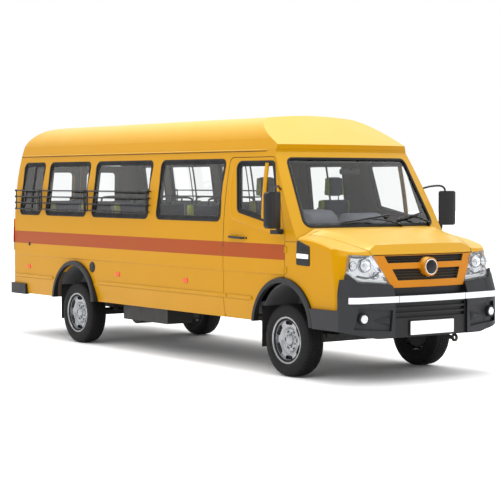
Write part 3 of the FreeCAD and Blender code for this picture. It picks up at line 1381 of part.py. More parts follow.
def make_dashboard():
    """Dashboard with a padded top up to the windscreen, and the steering column and wheel."""
    front = front_axle + size("cab_door_front") + 1 - size("seat_clearance")
    back, half = front - size("dash_depth"), size("dash_half")
    low, top = size("dash_low_level"), size("dash_top_level")
    face = [V(front, -half, low), V(back + 120, -half, low), V(back + 40, -half, low + 60),
            V(back, -half, top - 90), V(back + 50, -half, top), V(front, -half, top)]
    dash = Part.Face(rounded_loop(face, [2, 20, 20, 30, 20, 2])).extrude(V(0, 2 * half, 0))
    pad = block(front - 60, far_front, -half + 30, half - 30, top, top + size("dash_pad"))
    pad = cabin_solid(size("wall") + size("seat_clearance")).common(pad)
    radius, driver = size("dash_hood_radius"), -size("steering_wheel_half")
    hood = Part.makeCylinder(radius, 2 * radius, V(back + 110, driver - radius, top - 70), V(0, 1, 0))
    dash = dash.fuse([pad, hood.common(block(back + 10, front, -half, half, top - 40, top + 100))])
    centre = V(back - 110, driver, size("steering_wheel_level"))
    tilt = V(-0.6, 0, 0.8)
    radius, thick = size("steering_wheel_radius"), size("steering_wheel_rim")
    outline = [(radius + thick * math.cos(math.radians(60 * step)), thick * math.sin(math.radians(60 * step)))
               for step in range(6)]
    rim = ring_of_flats(outline, int(size("steering_wheel_flats")))
    rim.Placement = FreeCAD.Placement(centre, FreeCAD.Rotation(V(0, 1, 0), tilt))
    column = Part.makeCylinder(28, 330, centre - tilt * 325, tilt)
    hub = Part.makeCylinder(52, 40, centre - tilt * 32, tilt)
    turn = FreeCAD.Rotation(V(0, 0, 1), tilt)
    spokes = []
    bars = ((V(-12, -radius, -12), 24, 2 * radius), (V(-radius, -12, -12), radius, 24))
    for start, along, across in bars:
        spoke = Part.makeBox(along, across, 12, start)
        spoke.Placement = FreeCAD.Placement(centre, turn)
        spokes.append(spoke)
    dash = dash.cut(nose_solid(-size("seat_clearance")))
    node("dashboard", feature("Dashboard", dash.fuse([column, rim, hub] + spokes)))


def make_mirrors():
    """Mirror housings bulged to the front and thin at the inner edge, which clears the pillar."""
    for side, name in ((RIGHT, "mirror_right"), (LEFT, "mirror_left")):
        x = front_axle
        plan = [(35, 1020), (50, 1020), (92, 1120), (98, 1165), (92, 1205), (70, 1215), (35, 1215)]
        head = Part.Face(rounded_loop([V(x + ahead, side * out, 1400) for ahead, out in plan], 4))
        head = head.extrude(V(0, 0, 400))
        face = mirrored([(1019, 1430), (1216, 1430), (1216, 1780), (1019, 1780)], side)
        head = head.common(front_prism(face, 0, 200, [22, 45, 45, 30]))
        foot_y = sorted((side * (tumblehome(1375, 0) + size("seat_clearance")), side * 1060))
        arm = block(x - 65, x - 8, foot_y[0], foot_y[1], 1375, 1415)
        link = block(x - 20, x + 50, *sorted((side * 1030, side * 1060)), 1375, 1415)
        post = block(x + 36, x + 50, *sorted((side * 1030, side * 1060)), 1410, 1440)
        node(name, feature(name.title().replace("_", ""), head.fuse([arm, link, post])))


def make_wipers():
    blades = []
    skin = cabin_solid(-12).cut(cabin_solid(-size("seat_clearance"))).cut(nose_solid(-size("seat_clearance")))
    base = size("screen_base_level")
    for base_y in (-430, 250):
        blades.append(skin.common(block(front_axle, far_front, base_y, base_y + 480, base - 12, base + 14)))
    node("wipers", feature("Wipers", Part.makeCompound(blades)))


make_cabin()
make_glass()
make_side_door("door_driver", RIGHT, cab_door_outline, cab_window_outline, True)
make_side_door("door_codriver", LEFT, cab_door_outline, cab_window_outline, True)
make_side_door("door_entry", LEFT, entry_door_outline, entry_window_outline, False)
make_back_doors()
scuttle_lugs = make_bonnet()
make_fenders()
make_headlamps()
make_grille()
make_scuttle(scuttle_lugs)
make_front_bumper()
make_rear_bumper()
make_tail_lamps()
make_chassis()
make_floor()
make_engine()
make_axles()
make_wheels()
make_flares()
make_mud_flaps()
make_window_bars()
make_seats()
make_dashboard()
make_mirrors()
make_wipers()

doc.recompute()
for item in doc.Objects:
    if "Invalid" in item.State or "Error" in item.State:
        raise RuntimeError("%s failed: %s" % (item.Name, item.State))
for name, piece in nodes.items():
    if piece.Shape.isNull() or not piece.Shape.isValid() or piece.Shape.Volume < 1:
        raise RuntimeError("%s has no valid shape" % name)

os.makedirs("parts", exist_ok=True)
for name, piece in nodes.items():
    piece.Shape.exportStep("parts/%s.step" % name)
    bounds = piece.Shape.BoundBox
    print("%-22s %2d solids  x %6.0f %6.0f  y %6.0f %6.0f  z %5.0f %5.0f  %.1f l" % (
        name, len(piece.Shape.Solids), bounds.XMin, bounds.XMax, bounds.YMin, bounds.YMax,
        bounds.ZMin, bounds.ZMax, piece.Shape.Volume / 1e6))
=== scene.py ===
import json
import math

import bmesh
import bpy
from mathutils import Matrix, Vector
from mathutils.bvhtree import BVHTree


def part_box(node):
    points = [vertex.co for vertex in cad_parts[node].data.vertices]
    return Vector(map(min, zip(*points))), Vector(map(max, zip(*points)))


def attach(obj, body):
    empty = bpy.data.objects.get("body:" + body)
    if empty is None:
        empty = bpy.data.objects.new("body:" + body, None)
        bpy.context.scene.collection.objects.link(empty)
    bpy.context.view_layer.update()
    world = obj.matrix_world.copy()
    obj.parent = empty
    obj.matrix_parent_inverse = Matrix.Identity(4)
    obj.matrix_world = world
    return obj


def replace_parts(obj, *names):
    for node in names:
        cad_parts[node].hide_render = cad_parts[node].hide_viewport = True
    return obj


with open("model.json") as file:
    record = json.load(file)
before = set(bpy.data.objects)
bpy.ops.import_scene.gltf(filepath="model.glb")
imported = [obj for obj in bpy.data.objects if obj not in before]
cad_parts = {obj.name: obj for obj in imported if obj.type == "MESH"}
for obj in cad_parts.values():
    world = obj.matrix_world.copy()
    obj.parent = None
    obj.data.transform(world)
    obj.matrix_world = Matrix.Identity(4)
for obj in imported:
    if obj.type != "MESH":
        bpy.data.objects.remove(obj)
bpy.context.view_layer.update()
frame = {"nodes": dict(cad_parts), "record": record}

# Places of the axles, and the main levels and widths repeated from the part, in metres
FRONT = sum(corner.x for corner in map(Vector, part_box("rim_front_right"))) / 2
REAR = sum(corner.x for corner in map(Vector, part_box("rim_rear_right"))) / 2
RIGHT, LEFT = -1, 1
SIDES = ((RIGHT, "right"), (LEFT, "left"))
CAB_DOOR = {RIGHT: "door_driver", LEFT: "door_codriver"}
HALF_TRACK, TYRE_RADIUS = 0.816, 0.352
BELT, GUTTER, HALF_WIDTH, GUTTER_HALF = 1.180, 2.190, 0.950, 0.834
STRIPE_LOW, STRIPE_HIGH = 1.125, 1.273
FLOOR, SILL_RIDGE = 0.700, 0.730
GLASS_DEPTH, SLIDER_DEPTH = 0.012, -0.0118
BADGE_LEVEL, BADGE_RADIUS = 1.078, 0.0945

# The side windows: each one's front edge from the front axle, and its length
WINDOW_LOW, WINDOW_HIGH, WINDOW_CORNER = 1.481, 2.096, 0.060
WINDOWS = {"four": (-1.080, 1.189), "three": (-2.449, 1.184), "two": (-3.780, 0.942), "one": (-4.856, 0.508)}

# Ways to look, and where rays start outside the bus, along it and across it
AHEAD, ACROSS = (1, 0, 0), (0, 1, 0)
OUTSIDE, BESIDE = 4.5, 1.4


def rgb(red, green, blue):
    """A colour given in 0 to 255 display values, as linear light."""
    def linear(value):
        value /= 255
        return value / 12.92 if value <= 0.04045 else ((value + 0.055) / 1.055) ** 2.4
    return (linear(red), linear(green), linear(blue), 1.0)


YELLOW = rgb(178, 126, 0)
ORANGE = rgb(144, 57, 14)
TRIM_GREY = rgb(58, 60, 64)
BLACK = rgb(20, 20, 22)
WHITE_LIGHT = (1.0, 1.0, 1.0, 1.0)


class Nodes:
    """A material's node tree with short calls to add and join nodes."""

    def __init__(self, name):
        self.material = bpy.data.materials.new(name)
        self.material.use_nodes = True
        self.tree = self.material.node_tree
        self.shader = self.tree.nodes["Principled BSDF"]

    def add(self, kind, **inputs):
        node = self.tree.nodes.new("ShaderNode" + kind)
        for key, value in inputs.items():
            self.put(node, key, value)
        return node

    def put(self, node, key, value):
        """Sets a property, or a socket by its name, to a constant or to another node's output."""
        name = key.replace("_", " ")
        sockets = {socket.name.lower(): socket for socket in reversed(node.inputs)}
        if key.startswith("in"):
            socket = node.inputs[int(key[2:])]
        elif name.lower() in sockets:
            socket = sockets[name.lower()]
        else:
            setattr(node, key, value)
            return
        if isinstance(value, bpy.types.NodeSocket):
            self.tree.links.new(value, socket)
        else:
            socket.default_value = value

    def set(self, **inputs):
        for key, value in inputs.items():
            self.put(self.shader, key, value)

    def position(self):
        return self.add("TexCoord").outputs["Object"]

    def axes(self):
        return self.add("SeparateXYZ", Vector=self.position()).outputs

    def facing(self):
        """The way a face looks in the object's own axes, so that it stays the same at every pose."""
        world = self.add("NewGeometry").outputs["True Normal"]
        own = self.add("VectorTransform", vector_type="NORMAL", convert_from="WORLD", convert_to="OBJECT",
                       Vector=world)
        return self.add("SeparateXYZ", Vector=own.outputs[0]).outputs

    def noise(self, scale, detail=3.0, rough=0.5):
        return self.add("TexNoise", Scale=scale, Detail=detail, Roughness=rough,
                        Vector=self.position()).outputs["Fac"]

    def grain(self, scale):
        return self.add("TexVoronoi", Scale=scale, Vector=self.position()).outputs["Distance"]

    def ramp(self, value, low, high, start=0.0, end=1.0):
        """Maps a value between low and high to start and end."""
        return self.add("MapRange", Value=value, From_Min=low, From_Max=high, To_Min=start,
                        To_Max=end).outputs["Result"]

    def calc(self, operation, first, second=0.0):
        return self.add("Math", operation=operation, in0=first, in1=second).outputs[0]

    def total(self, first, *others):
        for value in others:
            first = self.calc("ADD", first, value)
        return first

    def both(self, first, *others):
        """The product of several values, which is where all of several masks hold."""
        for value in others:
            first = self.calc("MULTIPLY", first, value)
        return first

    def either(self, first, second):
        return self.calc("MAXIMUM", first, second)

    def without(self, first, second):
        return self.calc("SUBTRACT", first, second)

    def above(self, value, limit):
        return self.calc("GREATER_THAN", value, limit)

    def below(self, value, limit):
        return self.calc("LESS_THAN", value, limit)

    def within(self, value, low, high):
        """One where the value lies between two limits, else nought."""
        return self.both(self.above(value, low), self.below(value, high))

    def size(self, value):
        return self.calc("ABSOLUTE", value)

    def mix(self, share, first, second):
        """Blends two colours."""
        return self.add("Mix", data_type="RGBA", in0=share, in6=first, in7=second).outputs[2]

    def bump(self, height, strength, distance=0.001):
        self.set(Normal=self.add("Bump", Height=height, Strength=strength, Distance=distance).outputs[0])
        return self.material


def paint_finish(nodes, colour, tint=(1.0, 0.66, 0.10, 1.0)):
    """Body paint under lacquer, with a faint orange peel, darker towards the bottom, and a painted sheen that
    lightens the upward faces.
    """
    film = nodes.noise(2.2, 4.0)
    # Darker towards the bottom of the body.
    low = nodes.ramp(nodes.axes()[2], 0.5, 1.1, 0.10, 0.0)
    dull = nodes.total(nodes.ramp(film, 0.35, 0.75, 0.0, 0.08), low)
    # Painted sheen: faces that look upwards are lightened towards pale yellow, in place of the bright
    # reflection of the light overhead.
    painted_sheen = nodes.ramp(nodes.facing()[2], 0.25, 0.95, 0.0, 0.34)
    colour = nodes.mix(painted_sheen, nodes.mix(dull, colour, rgb(150, 104, 14)), rgb(206, 188, 104))
    nodes.set(Base_Color=colour, Roughness=nodes.ramp(film, 0.3, 0.8, 0.30, 0.40), IOR=1.5)
    nodes.set(Specular_IOR_Level=0.25, Specular_Tint=tint, Coat_Weight=0.05, Coat_Roughness=0.05)
    peel = nodes.total(nodes.both(nodes.noise(160.0, 2.0), 0.6), nodes.noise(900.0, 1.0))
    edges = nodes.add("Bevel", Radius=0.012, samples=4).outputs[0]
    nodes.set(Normal=nodes.add("Bump", Height=peel, Strength=0.012, Distance=0.0006, Normal=edges).outputs[0])
    return nodes.material


def make_body_paint():
    """Yellow outside with the orange stripe along the sides, and grey trim on faces that look inwards."""
    nodes = Nodes("body_paint")
    x, y, z = nodes.axes()
    normal = nodes.facing()
    sideways = nodes.size(normal[1])
    stripe_end, cab_start, back_end = FRONT + 0.021, FRONT - 0.32, -3.2
    middle_level, length_share, inward = 1.2, 0.35, -0.12
    stripe = nodes.both(nodes.within(z, STRIPE_LOW, STRIPE_HIGH), nodes.above(sideways, 0.5),
                        nodes.below(x, stripe_end))
    outward = nodes.total(nodes.both(normal[1], y), nodes.both(normal[2], nodes.without(z, middle_level)),
                          nodes.both(normal[0], nodes.both(x, length_share)))
    reveal = nodes.both(nodes.within(x, back_end, cab_start),
                        nodes.within(z, WINDOW_LOW - 0.26, WINDOW_HIGH + 0.03), nodes.below(sideways, 0.4))
    hidden = nodes.either(nodes.below(outward, inward), reveal)
    return paint_finish(nodes, nodes.mix(hidden, nodes.mix(stripe, YELLOW, ORANGE), TRIM_GREY))


def make_grille_paint():
    """Orange-yellow surround with black in the two slatted rows and on what lies behind its face."""
    nodes = Nodes("grille_paint")
    x, y, z = nodes.axes()
    face, rows = FRONT + 0.88, []
    for top, low, half in ((1.184, 1.120, 0.496), (1.062, 0.958, 0.424)):
        edge = nodes.ramp(z, low, top, half - (top - low) * 0.5 + 0.001, half + 0.001)
        rows.append(nodes.both(nodes.within(z, low - 0.001, top + 0.001), nodes.below(nodes.size(y), edge)))
    rise = nodes.without(z, BADGE_LEVEL)
    far_squared = nodes.total(nodes.both(y, y), nodes.both(rise, rise))
    slats = nodes.both(nodes.either(*rows), nodes.above(far_squared, BADGE_RADIUS ** 2))
    dark = nodes.either(slats, nodes.below(x, face))
    return paint_finish(nodes, nodes.mix(dark, rgb(182, 112, 2), rgb(6, 6, 7)), WHITE_LIGHT)


def make_plastic(name, colour, rough=0.5, grain=700.0):
    """Moulded plastic with a fine grain and slightly worn sheen."""
    nodes = Nodes(name)
    cloud = nodes.noise(6.0)
    light = tuple(min(1.0, part * 1.5 + 0.004) for part in colour[:3]) + (1.0,)
    nodes.set(Base_Color=nodes.mix(nodes.ramp(cloud, 0.3, 0.8, 0.0, 0.5), colour, light),
              Roughness=nodes.ramp(cloud, 0.3, 0.7, rough - 0.06, rough + 0.08), Specular_IOR_Level=0.3)
    return nodes.bump(nodes.grain(grain), 0.12, 0.0006)


def make_bumper_plastic():
    """Dark grey plastic, with painted shade making the slatted middle and the band under the grille near
    black, and the bright strip across it.
    """
    nodes = Nodes("bumper_plastic")
    _, y, z = nodes.axes()
    wide = nodes.size(y)
    slats_half, slats_top, shade_low, shade_high = 0.456, 0.761, 0.8201, 1.0
    strip_half, strip_low, strip_high = 0.931, 0.7601, 0.8179
    # Painted shade: in the middle, the slats below the strip and the band under the grille from shade_low to
    # shade_high are made near black.
    slats = nodes.either(nodes.below(z, slats_top), nodes.within(z, shade_low, shade_high))
    seam = nodes.within(wide, 0.417, 0.423)
    strip = nodes.both(nodes.within(z, strip_low, strip_high), nodes.below(wide, strip_half),
                       nodes.without(1.0, seam))
    colour = nodes.mix(nodes.noise(6.0), rgb(24, 25, 28), rgb(32, 33, 37))
    colour = nodes.mix(nodes.both(nodes.below(wide, slats_half), slats), colour, rgb(9, 9, 10))
    nodes.set(Base_Color=nodes.mix(strip, colour, rgb(222, 224, 228)), Metallic=nodes.both(strip, 0.7),
              Specular_IOR_Level=0.35, Roughness=nodes.ramp(strip, 0.0, 1.0, 0.5, 0.22))
    return nodes.bump(nodes.both(nodes.grain(700.0), nodes.without(1.0, strip)), 0.12, 0.0006)


def make_mottled(name, cloud, shares, colours, rough, grain, bump, **more):
    """A dull finish whose colour and roughness drift with a soft cloud, over a finer grain."""
    nodes = Nodes(name)
    cloud = nodes.noise(*cloud)
    nodes.set(Base_Color=nodes.mix(nodes.ramp(cloud, *shares), *colours), Roughness=nodes.ramp(cloud, *rough),
              **more)
    return nodes.bump(nodes.noise(*grain), *bump)


def make_rubber(name, dark, light):
    """Black rubber between two greys, of 0 to 255."""
    return make_mottled(name, (9.0, 5.0), (0.3, 0.75), (rgb(dark, dark, dark + 1), rgb(light, light, light)),
                        (0.3, 0.7, 0.55, 0.78), (260.0, 4.0), (0.18, 0.0008), Specular_IOR_Level=0.35)


def make_tyre_rubber():
    """Tyre compound: fine moulded rings on the sidewall and grey dust in the tread."""
    nodes = Nodes("tyre_compound")
    x, _, z = nodes.axes()
    radius = nodes.calc("SQRT", nodes.total(nodes.both(x, x), nodes.both(z, z)))
    rings = nodes.calc("SINE", nodes.both(radius, 1900.0))
    wall = nodes.within(radius, 0.215, 0.318)
    dust = nodes.noise(40.0, 5.0)
    nodes.set(Base_Color=nodes.mix(nodes.ramp(dust, 0.35, 0.8), rgb(8, 8, 9), rgb(24, 23, 23)),
              Roughness=nodes.ramp(dust, 0.3, 0.7, 0.55, 0.8), Specular_IOR_Level=0.22)
    return nodes.bump(nodes.total(nodes.both(rings, wall, 0.5), nodes.noise(320.0)), 0.3, 0.0006)


def make_wheel_paint():
    """Silver wheel enamel with fine metallic flake and brake dust in the hollows."""
    nodes = Nodes("wheel_silver")
    flake, dust = nodes.noise(1400.0, 1.0), nodes.noise(20.0, 5.0)
    colour = nodes.mix(nodes.ramp(flake, 0.35, 0.7), rgb(122, 124, 128), rgb(160, 162, 166))
    colour = nodes.mix(nodes.ramp(dust, 0.55, 0.9, 0.0, 0.3), colour, rgb(92, 88, 82))
    nodes.set(Base_Color=colour, Metallic=0.85, Roughness=nodes.ramp(dust, 0.3, 0.8, 0.22, 0.38),
              Coat_Weight=0.3, Coat_Roughness=0.1)
    return nodes.bump(nodes.noise(220.0, 2.0), 0.03, 0.0005)


def make_metal(name, colour, rough):
    """Bare bright metal with a faint unevenness."""
    nodes = Nodes(name)
    nodes.set(Base_Color=colour, Metallic=1.0,
              Roughness=nodes.ramp(nodes.noise(30.0, 4.0), 0.3, 0.8, rough, rough + 0.12))
    return nodes.bump(nodes.noise(500.0, 2.0), 0.03, 0.0004)


def make_clear(name, colour, clear, ior=1.49, haze=(8.0, 3.0), rough=(0.3, 0.8, 0.02, 0.06)):
    """Glass or a lens, with a faint haze."""
    nodes = Nodes(name)
    nodes.set(Base_Color=colour, Transmission_Weight=clear, IOR=ior,
              Roughness=nodes.ramp(nodes.noise(*haze), *rough))
    return nodes.material


def make_tail_lens():
    """Tail lamp in three bands, amber over red over clear, with fine moulded ribs."""
    nodes = Nodes("tail_lens")
    z = nodes.axes()[2]
    amber_from, clear_to, half_seam = 1.315, 1.135, 0.004
    colour = nodes.mix(nodes.above(z, amber_from), rgb(190, 12, 14), rgb(232, 120, 10))
    colour = nodes.mix(nodes.below(z, clear_to), colour, rgb(225, 225, 225))
    seams = nodes.either(*[nodes.within(z, at - half_seam, at + half_seam) for at in (amber_from, clear_to)])
    nodes.set(Base_Color=nodes.mix(seams, colour, BLACK), Roughness=0.14, Transmission_Weight=0.25, IOR=1.49,
              Coat_Weight=0.6, Coat_Roughness=0.04)
    return nodes.bump(nodes.calc("SINE", nodes.both(z, 900.0)), 0.4, 0.001)


def make_fabric(name, edge_at):
    """Woven upholstery, dark blue in the middle and olive green on the bolsters, with piping between."""
    nodes = Nodes(name)
    mottled = nodes.ramp(nodes.noise(60.0, 4.0), 0.4, 0.7)
    navy = nodes.mix(mottled, rgb(34, 37, 54), rgb(52, 56, 74))
    olive = nodes.mix(mottled, rgb(120, 126, 30), rgb(152, 156, 46))
    wide = nodes.size(nodes.axes()[1])
    half_piping, threads = 0.004, 120.0
    piping = nodes.within(wide, edge_at - half_piping, edge_at + half_piping)
    colour = nodes.mix(piping, nodes.mix(nodes.above(wide, edge_at), navy, olive), BLACK)
    warp, weft = (nodes.add("TexWave", Scale=threads, Distortion=1.2, Vector=nodes.position(),
                            bands_direction=way).outputs["Fac"] for way in "YZ")
    weave = nodes.without(nodes.both(warp, weft), nodes.both(piping, 2.0))
    nodes.set(Base_Color=colour, Roughness=0.9, Sheen_Weight=0.3, Sheen_Roughness=0.5)
    return nodes.bump(weave, 0.35, 0.0012), "seat_fabric"


# Finishes of the new pieces: a material, and the record's slot that it stands for
PAINT = make_body_paint()
PLAIN_PAINT = paint_finish(Nodes("plain_yellow"), YELLOW), "yellow_paint"
DARK = make_plastic("dark_plastic", rgb(19, 20, 22), 0.44), "black_plastic"
GLOSS_BLACK = make_plastic("gloss_black", rgb(6, 6, 7), 0.25, 1400.0), "black_plastic"
SEAL = make_rubber("seal_rubber", 7, 14), "black_rubber"
STEEL = make_mottled("chassis_paint", (5.0, 6.0, 0.65), (0.45, 0.8), (rgb(12, 12, 13), rgb(40, 36, 32)),
                     (0.3, 0.8, 0.45, 0.75), (120.0, 4.0), (0.25, 0.001)), "chassis_black"
IRON = make_mottled("rough_iron", (14.0, 6.0, 0.6), (0.0, 1.0), (rgb(46, 46, 48), rgb(84, 80, 74)),
                    (0.2, 0.8, 0.5, 0.8), (300.0, 5.0), (0.4, 0.0015), Metallic=0.6), "cast_iron"
BAR_BLACK = make_plastic("bar_enamel", rgb(8, 8, 9), 0.35, 900.0), "bar_black"
DASH = make_plastic("dash_grain", rgb(96, 99, 106), 0.6), "dash_plastic"
INSIDE = make_plastic("inside_trim", rgb(84, 86, 90), 0.6, 400.0), "dash_plastic"
CHROME = make_metal("bright_trim", rgb(224, 226, 230), 0.10), "silver_wheel"
REFLECTOR = make_metal("lamp_reflector", rgb(232, 234, 238), 0.16), "silver_wheel"
MIRROR = make_metal("mirror_silver", rgb(206, 212, 216), 0.02), "clear_glass"
CLEAR = make_clear("clear_cover", (0.97, 0.98, 0.985, 1.0), 0.97), "lamp_lens"
AMBER = make_clear("amber_cover", rgb(226, 74, 2), 0.12), "red_lens"
WHITE = make_plastic("white_plastic", rgb(236, 238, 238), 0.35, 1400.0), "lamp_lens"
WHEEL = make_wheel_paint(), "silver_wheel"
TYRE = make_tyre_rubber(), "tyre_rubber"

# Materials of the CAD nodes, by the record's slots
MATERIALS = {
    "yellow_paint": PAINT,
    "grille_plastic": make_grille_paint(),
    "clear_glass": make_clear("window_glass", (0.975, 0.985, 0.982, 1.0), 1.0, 1.3, (3.0, 4.0),
                              (0.3, 0.9, 0.0, 0.02)),
    "red_lens": make_tail_lens(),
    "floor_vinyl": make_plastic("grey_vinyl", rgb(74, 74, 76), 0.6, 300.0),
    "black_rubber": make_rubber("flap_rubber", 24, 44),
    "seat_fabric": make_fabric("plain_cloth", 0.5)[0],
}
for material, slot in (DARK, STEEL, IRON, BAR_BLACK, DASH, CLEAR, TYRE, WHEEL):
    MATERIALS[slot] = material

for entry in frame["record"]["subparts"]:
    mesh = frame["nodes"][entry["node"]].data
    mesh.materials.clear()
    mesh.materials.append(MATERIALS[entry["material_slot"]])
frame["nodes"]["front_bumper"].data.materials[0] = make_bumper_plastic()


class Piece:
    """Collects the points and faces of one mesh, which rides on a body."""

    def __init__(self, name, finish, body="body", centre=(0.0, 0.0, 0.0)):
        self.name, self.finish, self.body, self.centre = name, finish, body, Vector(centre)
        self.points = []
        self.faces = []

    def strip(self, rows, closed=False, ends=False, loop=False):
        """Joins rows of points with quads. Rows may close on themselves, and the last may join the first."""
        rows = list(rows)
        start, count = len(self.points), len(rows[0])
        for row in rows:
            self.points.extend(Vector(point) for point in row)
        for index in range(len(rows) if loop else len(rows) - 1):
            here, there = start + index * count, start + (index + 1) % len(rows) * count
            for at in range(count if closed else count - 1):
                beside = (at + 1) % count
                self.faces.append((here + at, here + beside, there + beside, there + at))
        if ends:
            last = start + (len(rows) - 1) * count
            self.faces.append(tuple(range(start, start + count))[::-1])
            self.faces.append(tuple(range(last, last + count)))
        return self

    def solid(self, rows):
        return self.strip(rows, closed=True, ends=True)

    def make(self, sharp=35.0):
        mesh = bpy.data.meshes.new(self.name)
        mesh.from_pydata([tuple(point) for point in self.points], [], self.faces)
        return finish_mesh(mesh, self.name, self.finish, self.body, self.centre, sharp)


def finish_mesh(mesh, name, finish, body="body", centre=(0, 0, 0), sharp=35.0):
    """Smooth shading with sharp edges kept, then the object, its material and the body it rides on."""
    material, slot = finish
    shape = bmesh.new()
    shape.from_mesh(mesh)
    bmesh.ops.recalc_face_normals(shape, faces=shape.faces)
    for face in shape.faces:
        face.smooth = True
    for line in shape.edges:
        line.smooth = len(line.link_faces) == 2 and line.calc_face_angle(0.0) < math.radians(sharp)
    shape.to_mesh(mesh)
    shape.free()
    mesh.materials.clear()
    mesh.materials.append(material)
    thing = bpy.data.objects.new(name, mesh)
    thing.location = centre
    bpy.context.collection.objects.link(thing)
    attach(thing, body)
    return thing


def shape_as_shown(thing):
    """A new mesh of the object with its modifiers applied."""
    return bpy.data.meshes.new_from_object(thing.evaluated_get(bpy.context.evaluated_depsgraph_get()))


def spread(start, end, steps):
    """Evenly spaced values or points from start to end."""
    return [start + (end - start) * step / steps for step in range(steps + 1)]


def turns(count):
    """The angles that divide a full turn."""
    return [2 * math.pi * step / count for step in range(count)]


def from_axle(*points):
    """Outline points of a side, given from the front axle."""
    return [(FRONT + along, level) for along, level in points]


def mirrored(side, *points):
    """Outline points of a front or rear view, turned over for the right side."""
    return [(side * across, level) for across, level in points]


def oblong(x0, y0, x1, y1):
    """The corners of a rectangle, in order."""
    return [(x0, y0), (x1, y0), (x1, y1), (x0, y1)]


def smooth_path(points, steps=6):
    """Points along a smooth curve through the given ones."""
    points = [Vector(point) for point in points]
    result = []
    for index, (here, there) in enumerate(zip(points, points[1:])):
        before, after = points[max(index - 1, 0)], points[min(index + 2, len(points) - 1)]
        for t in (step / steps for step in range(steps)):
            result.append(0.5 * ((2 * here) + (there - before) * t
                                 + (2 * before - 5 * here + 4 * there - after) * t * t
                                 + (3 * here - before - 3 * there + after) * t ** 3))
    return result + [points[-1]]


def tube(piece, path, radius, sides=12, flat=1.0):
    """A round or flattened bar along a path."""
    path = [Vector(point) for point in path]
    rows = []
    for index, point in enumerate(path):
        along = (path[min(index + 1, len(path) - 1)] - path[max(index - 1, 0)]).normalized()
        across = along.cross(Vector((0, 0, 1)))
        across = across.normalized() if across.length > 0.05 else Vector(ACROSS)
        rise = across.cross(along).normalized()
        wide = radius[index] if isinstance(radius, (list, tuple)) else radius
        rows.append([point + across * (wide * math.cos(turn)) + rise * (wide * flat * math.sin(turn))
                     for turn in turns(sides)])
    return piece.solid(rows)


def lathe(piece, outline, centre=(0, 0, 0), axis=ACROSS, count=48, closed=False):
    """Turns an outline of (radius, distance along the axis) points round an axis."""
    centre, axis = Vector(centre), Vector(axis).normalized()
    helper = Vector((0, 0, 1)) if abs(axis.z) < 0.9 else Vector(AHEAD)
    first = axis.cross(helper).normalized()
    second = axis.cross(first)
    rows = []
    for turn in turns(count):
        out = first * math.cos(turn) + second * math.sin(turn)
        rows.append([centre + out * radius + axis * along for radius, along in outline])
    return piece.strip(rows, closed=closed, loop=True)


def rounded(corners, radius, steps=6):
    """A closed outline of 2D points with its corners rounded, by one radius or by one for each."""
    result = []
    count = len(corners)
    radii = radius if isinstance(radius, (list, tuple)) else [radius] * count
    for index in range(count):
        before, here, after = (Vector(corners[(index + shift) % count]) for shift in (-1, 0, 1))
        back, on = (before - here).normalized(), (after - here).normalized()
        half = math.acos(max(-1.0, min(1.0, back.dot(on)))) / 2
        reach = min(radii[index] / math.tan(half), min((before - here).length, (after - here).length) * 0.49)
        middle = here + (back + on).normalized() * (reach / math.cos(half))
        start, end = here + back * reach - middle, here + on * reach - middle
        swing = start.angle_signed(end)
        result += [middle + Matrix.Rotation(-swing * share, 2) @ start for share in spread(0, 1, steps)]
    return result


def ring(along, level, radius, count=28):
    """A round outline."""
    return [Vector((along + radius * math.cos(turn), level + radius * math.sin(turn)))
            for turn in turns(count)]


def drawn_in(outline, far):
    """The outline with each point moved towards its middle."""
    middle = sum((Vector(point) for point in outline), Vector((0, 0))) / len(outline)
    return [point + (middle - point).normalized() * far for point in outline]


def around(piece, outline, place, section):
    """Runs a section of (outward, proud) points along a closed outline on a surface."""
    count = len(outline)
    area = sum(outline[i - 1].x * outline[i].y - outline[i].x * outline[i - 1].y for i in range(count))
    rows = []
    for index in range(count):
        along = outline[(index + 1) % count] - outline[index - 1]
        if along.length < 1e-6:
            along = outline[(index + 2) % count] - outline[index - 2]
        out = Vector((along.y, -along.x)).normalized() * (1 if area > 0 else -1)
        rows.append([place(*(outline[index] + out * far), proud) for far, proud in section])
    return piece.strip(rows, loop=True)


def plate(piece, outline, place, proud, depth=0.002, bevel=0.0015):
    """A thin plate with this outline on a surface."""
    return piece.solid([[place(*point, proud - depth) for point in outline],
                        [place(*point, proud - bevel) for point in outline],
                        [place(*point, proud) for point in drawn_in(outline, bevel)]])


def block(piece, low, high):
    """A box between two corners, with its edges cut off."""
    (x0, y0, z0), (x1, y1, z1) = low, high
    cut = min(0.004, (x1 - x0) / 4, (y1 - y0) / 4, (z1 - z0) / 4)
    outline = rounded(oblong(x0, y0, x1, y1), cut * 2, 3)
    inner = drawn_in(outline, cut)
    return piece.solid([[(*point, level) for point in points] for points, level in
                        ((inner, z0), (outline, z0 + cut), (outline, z1 - cut), (inner, z1))])


def half_width(level):
    """Half width of the body's skin: upright below the belt, a long arc above it."""
    drop, rise = HALF_WIDTH - GUTTER_HALF, GUTTER - BELT
    radius = (rise ** 2 + drop ** 2) / (2 * drop)
    return HALF_WIDTH - radius + math.sqrt(radius ** 2 - max(0.0, level - BELT) ** 2)


def on_side(side):
    """A placing function for (x, z) outlines on the side's skin: it takes them and how far proud."""
    return lambda along, level, proud: Vector((along, side * (half_width(level) + proud), level))


TREES = {}


def tree(name):
    """A search tree of a CAD node's faces, made once."""
    if name not in TREES:
        mesh = frame["nodes"][name].data
        TREES[name] = BVHTree.FromPolygons([point.co for point in mesh.vertices],
                                           [face.vertices for face in mesh.polygons])
    return TREES[name]


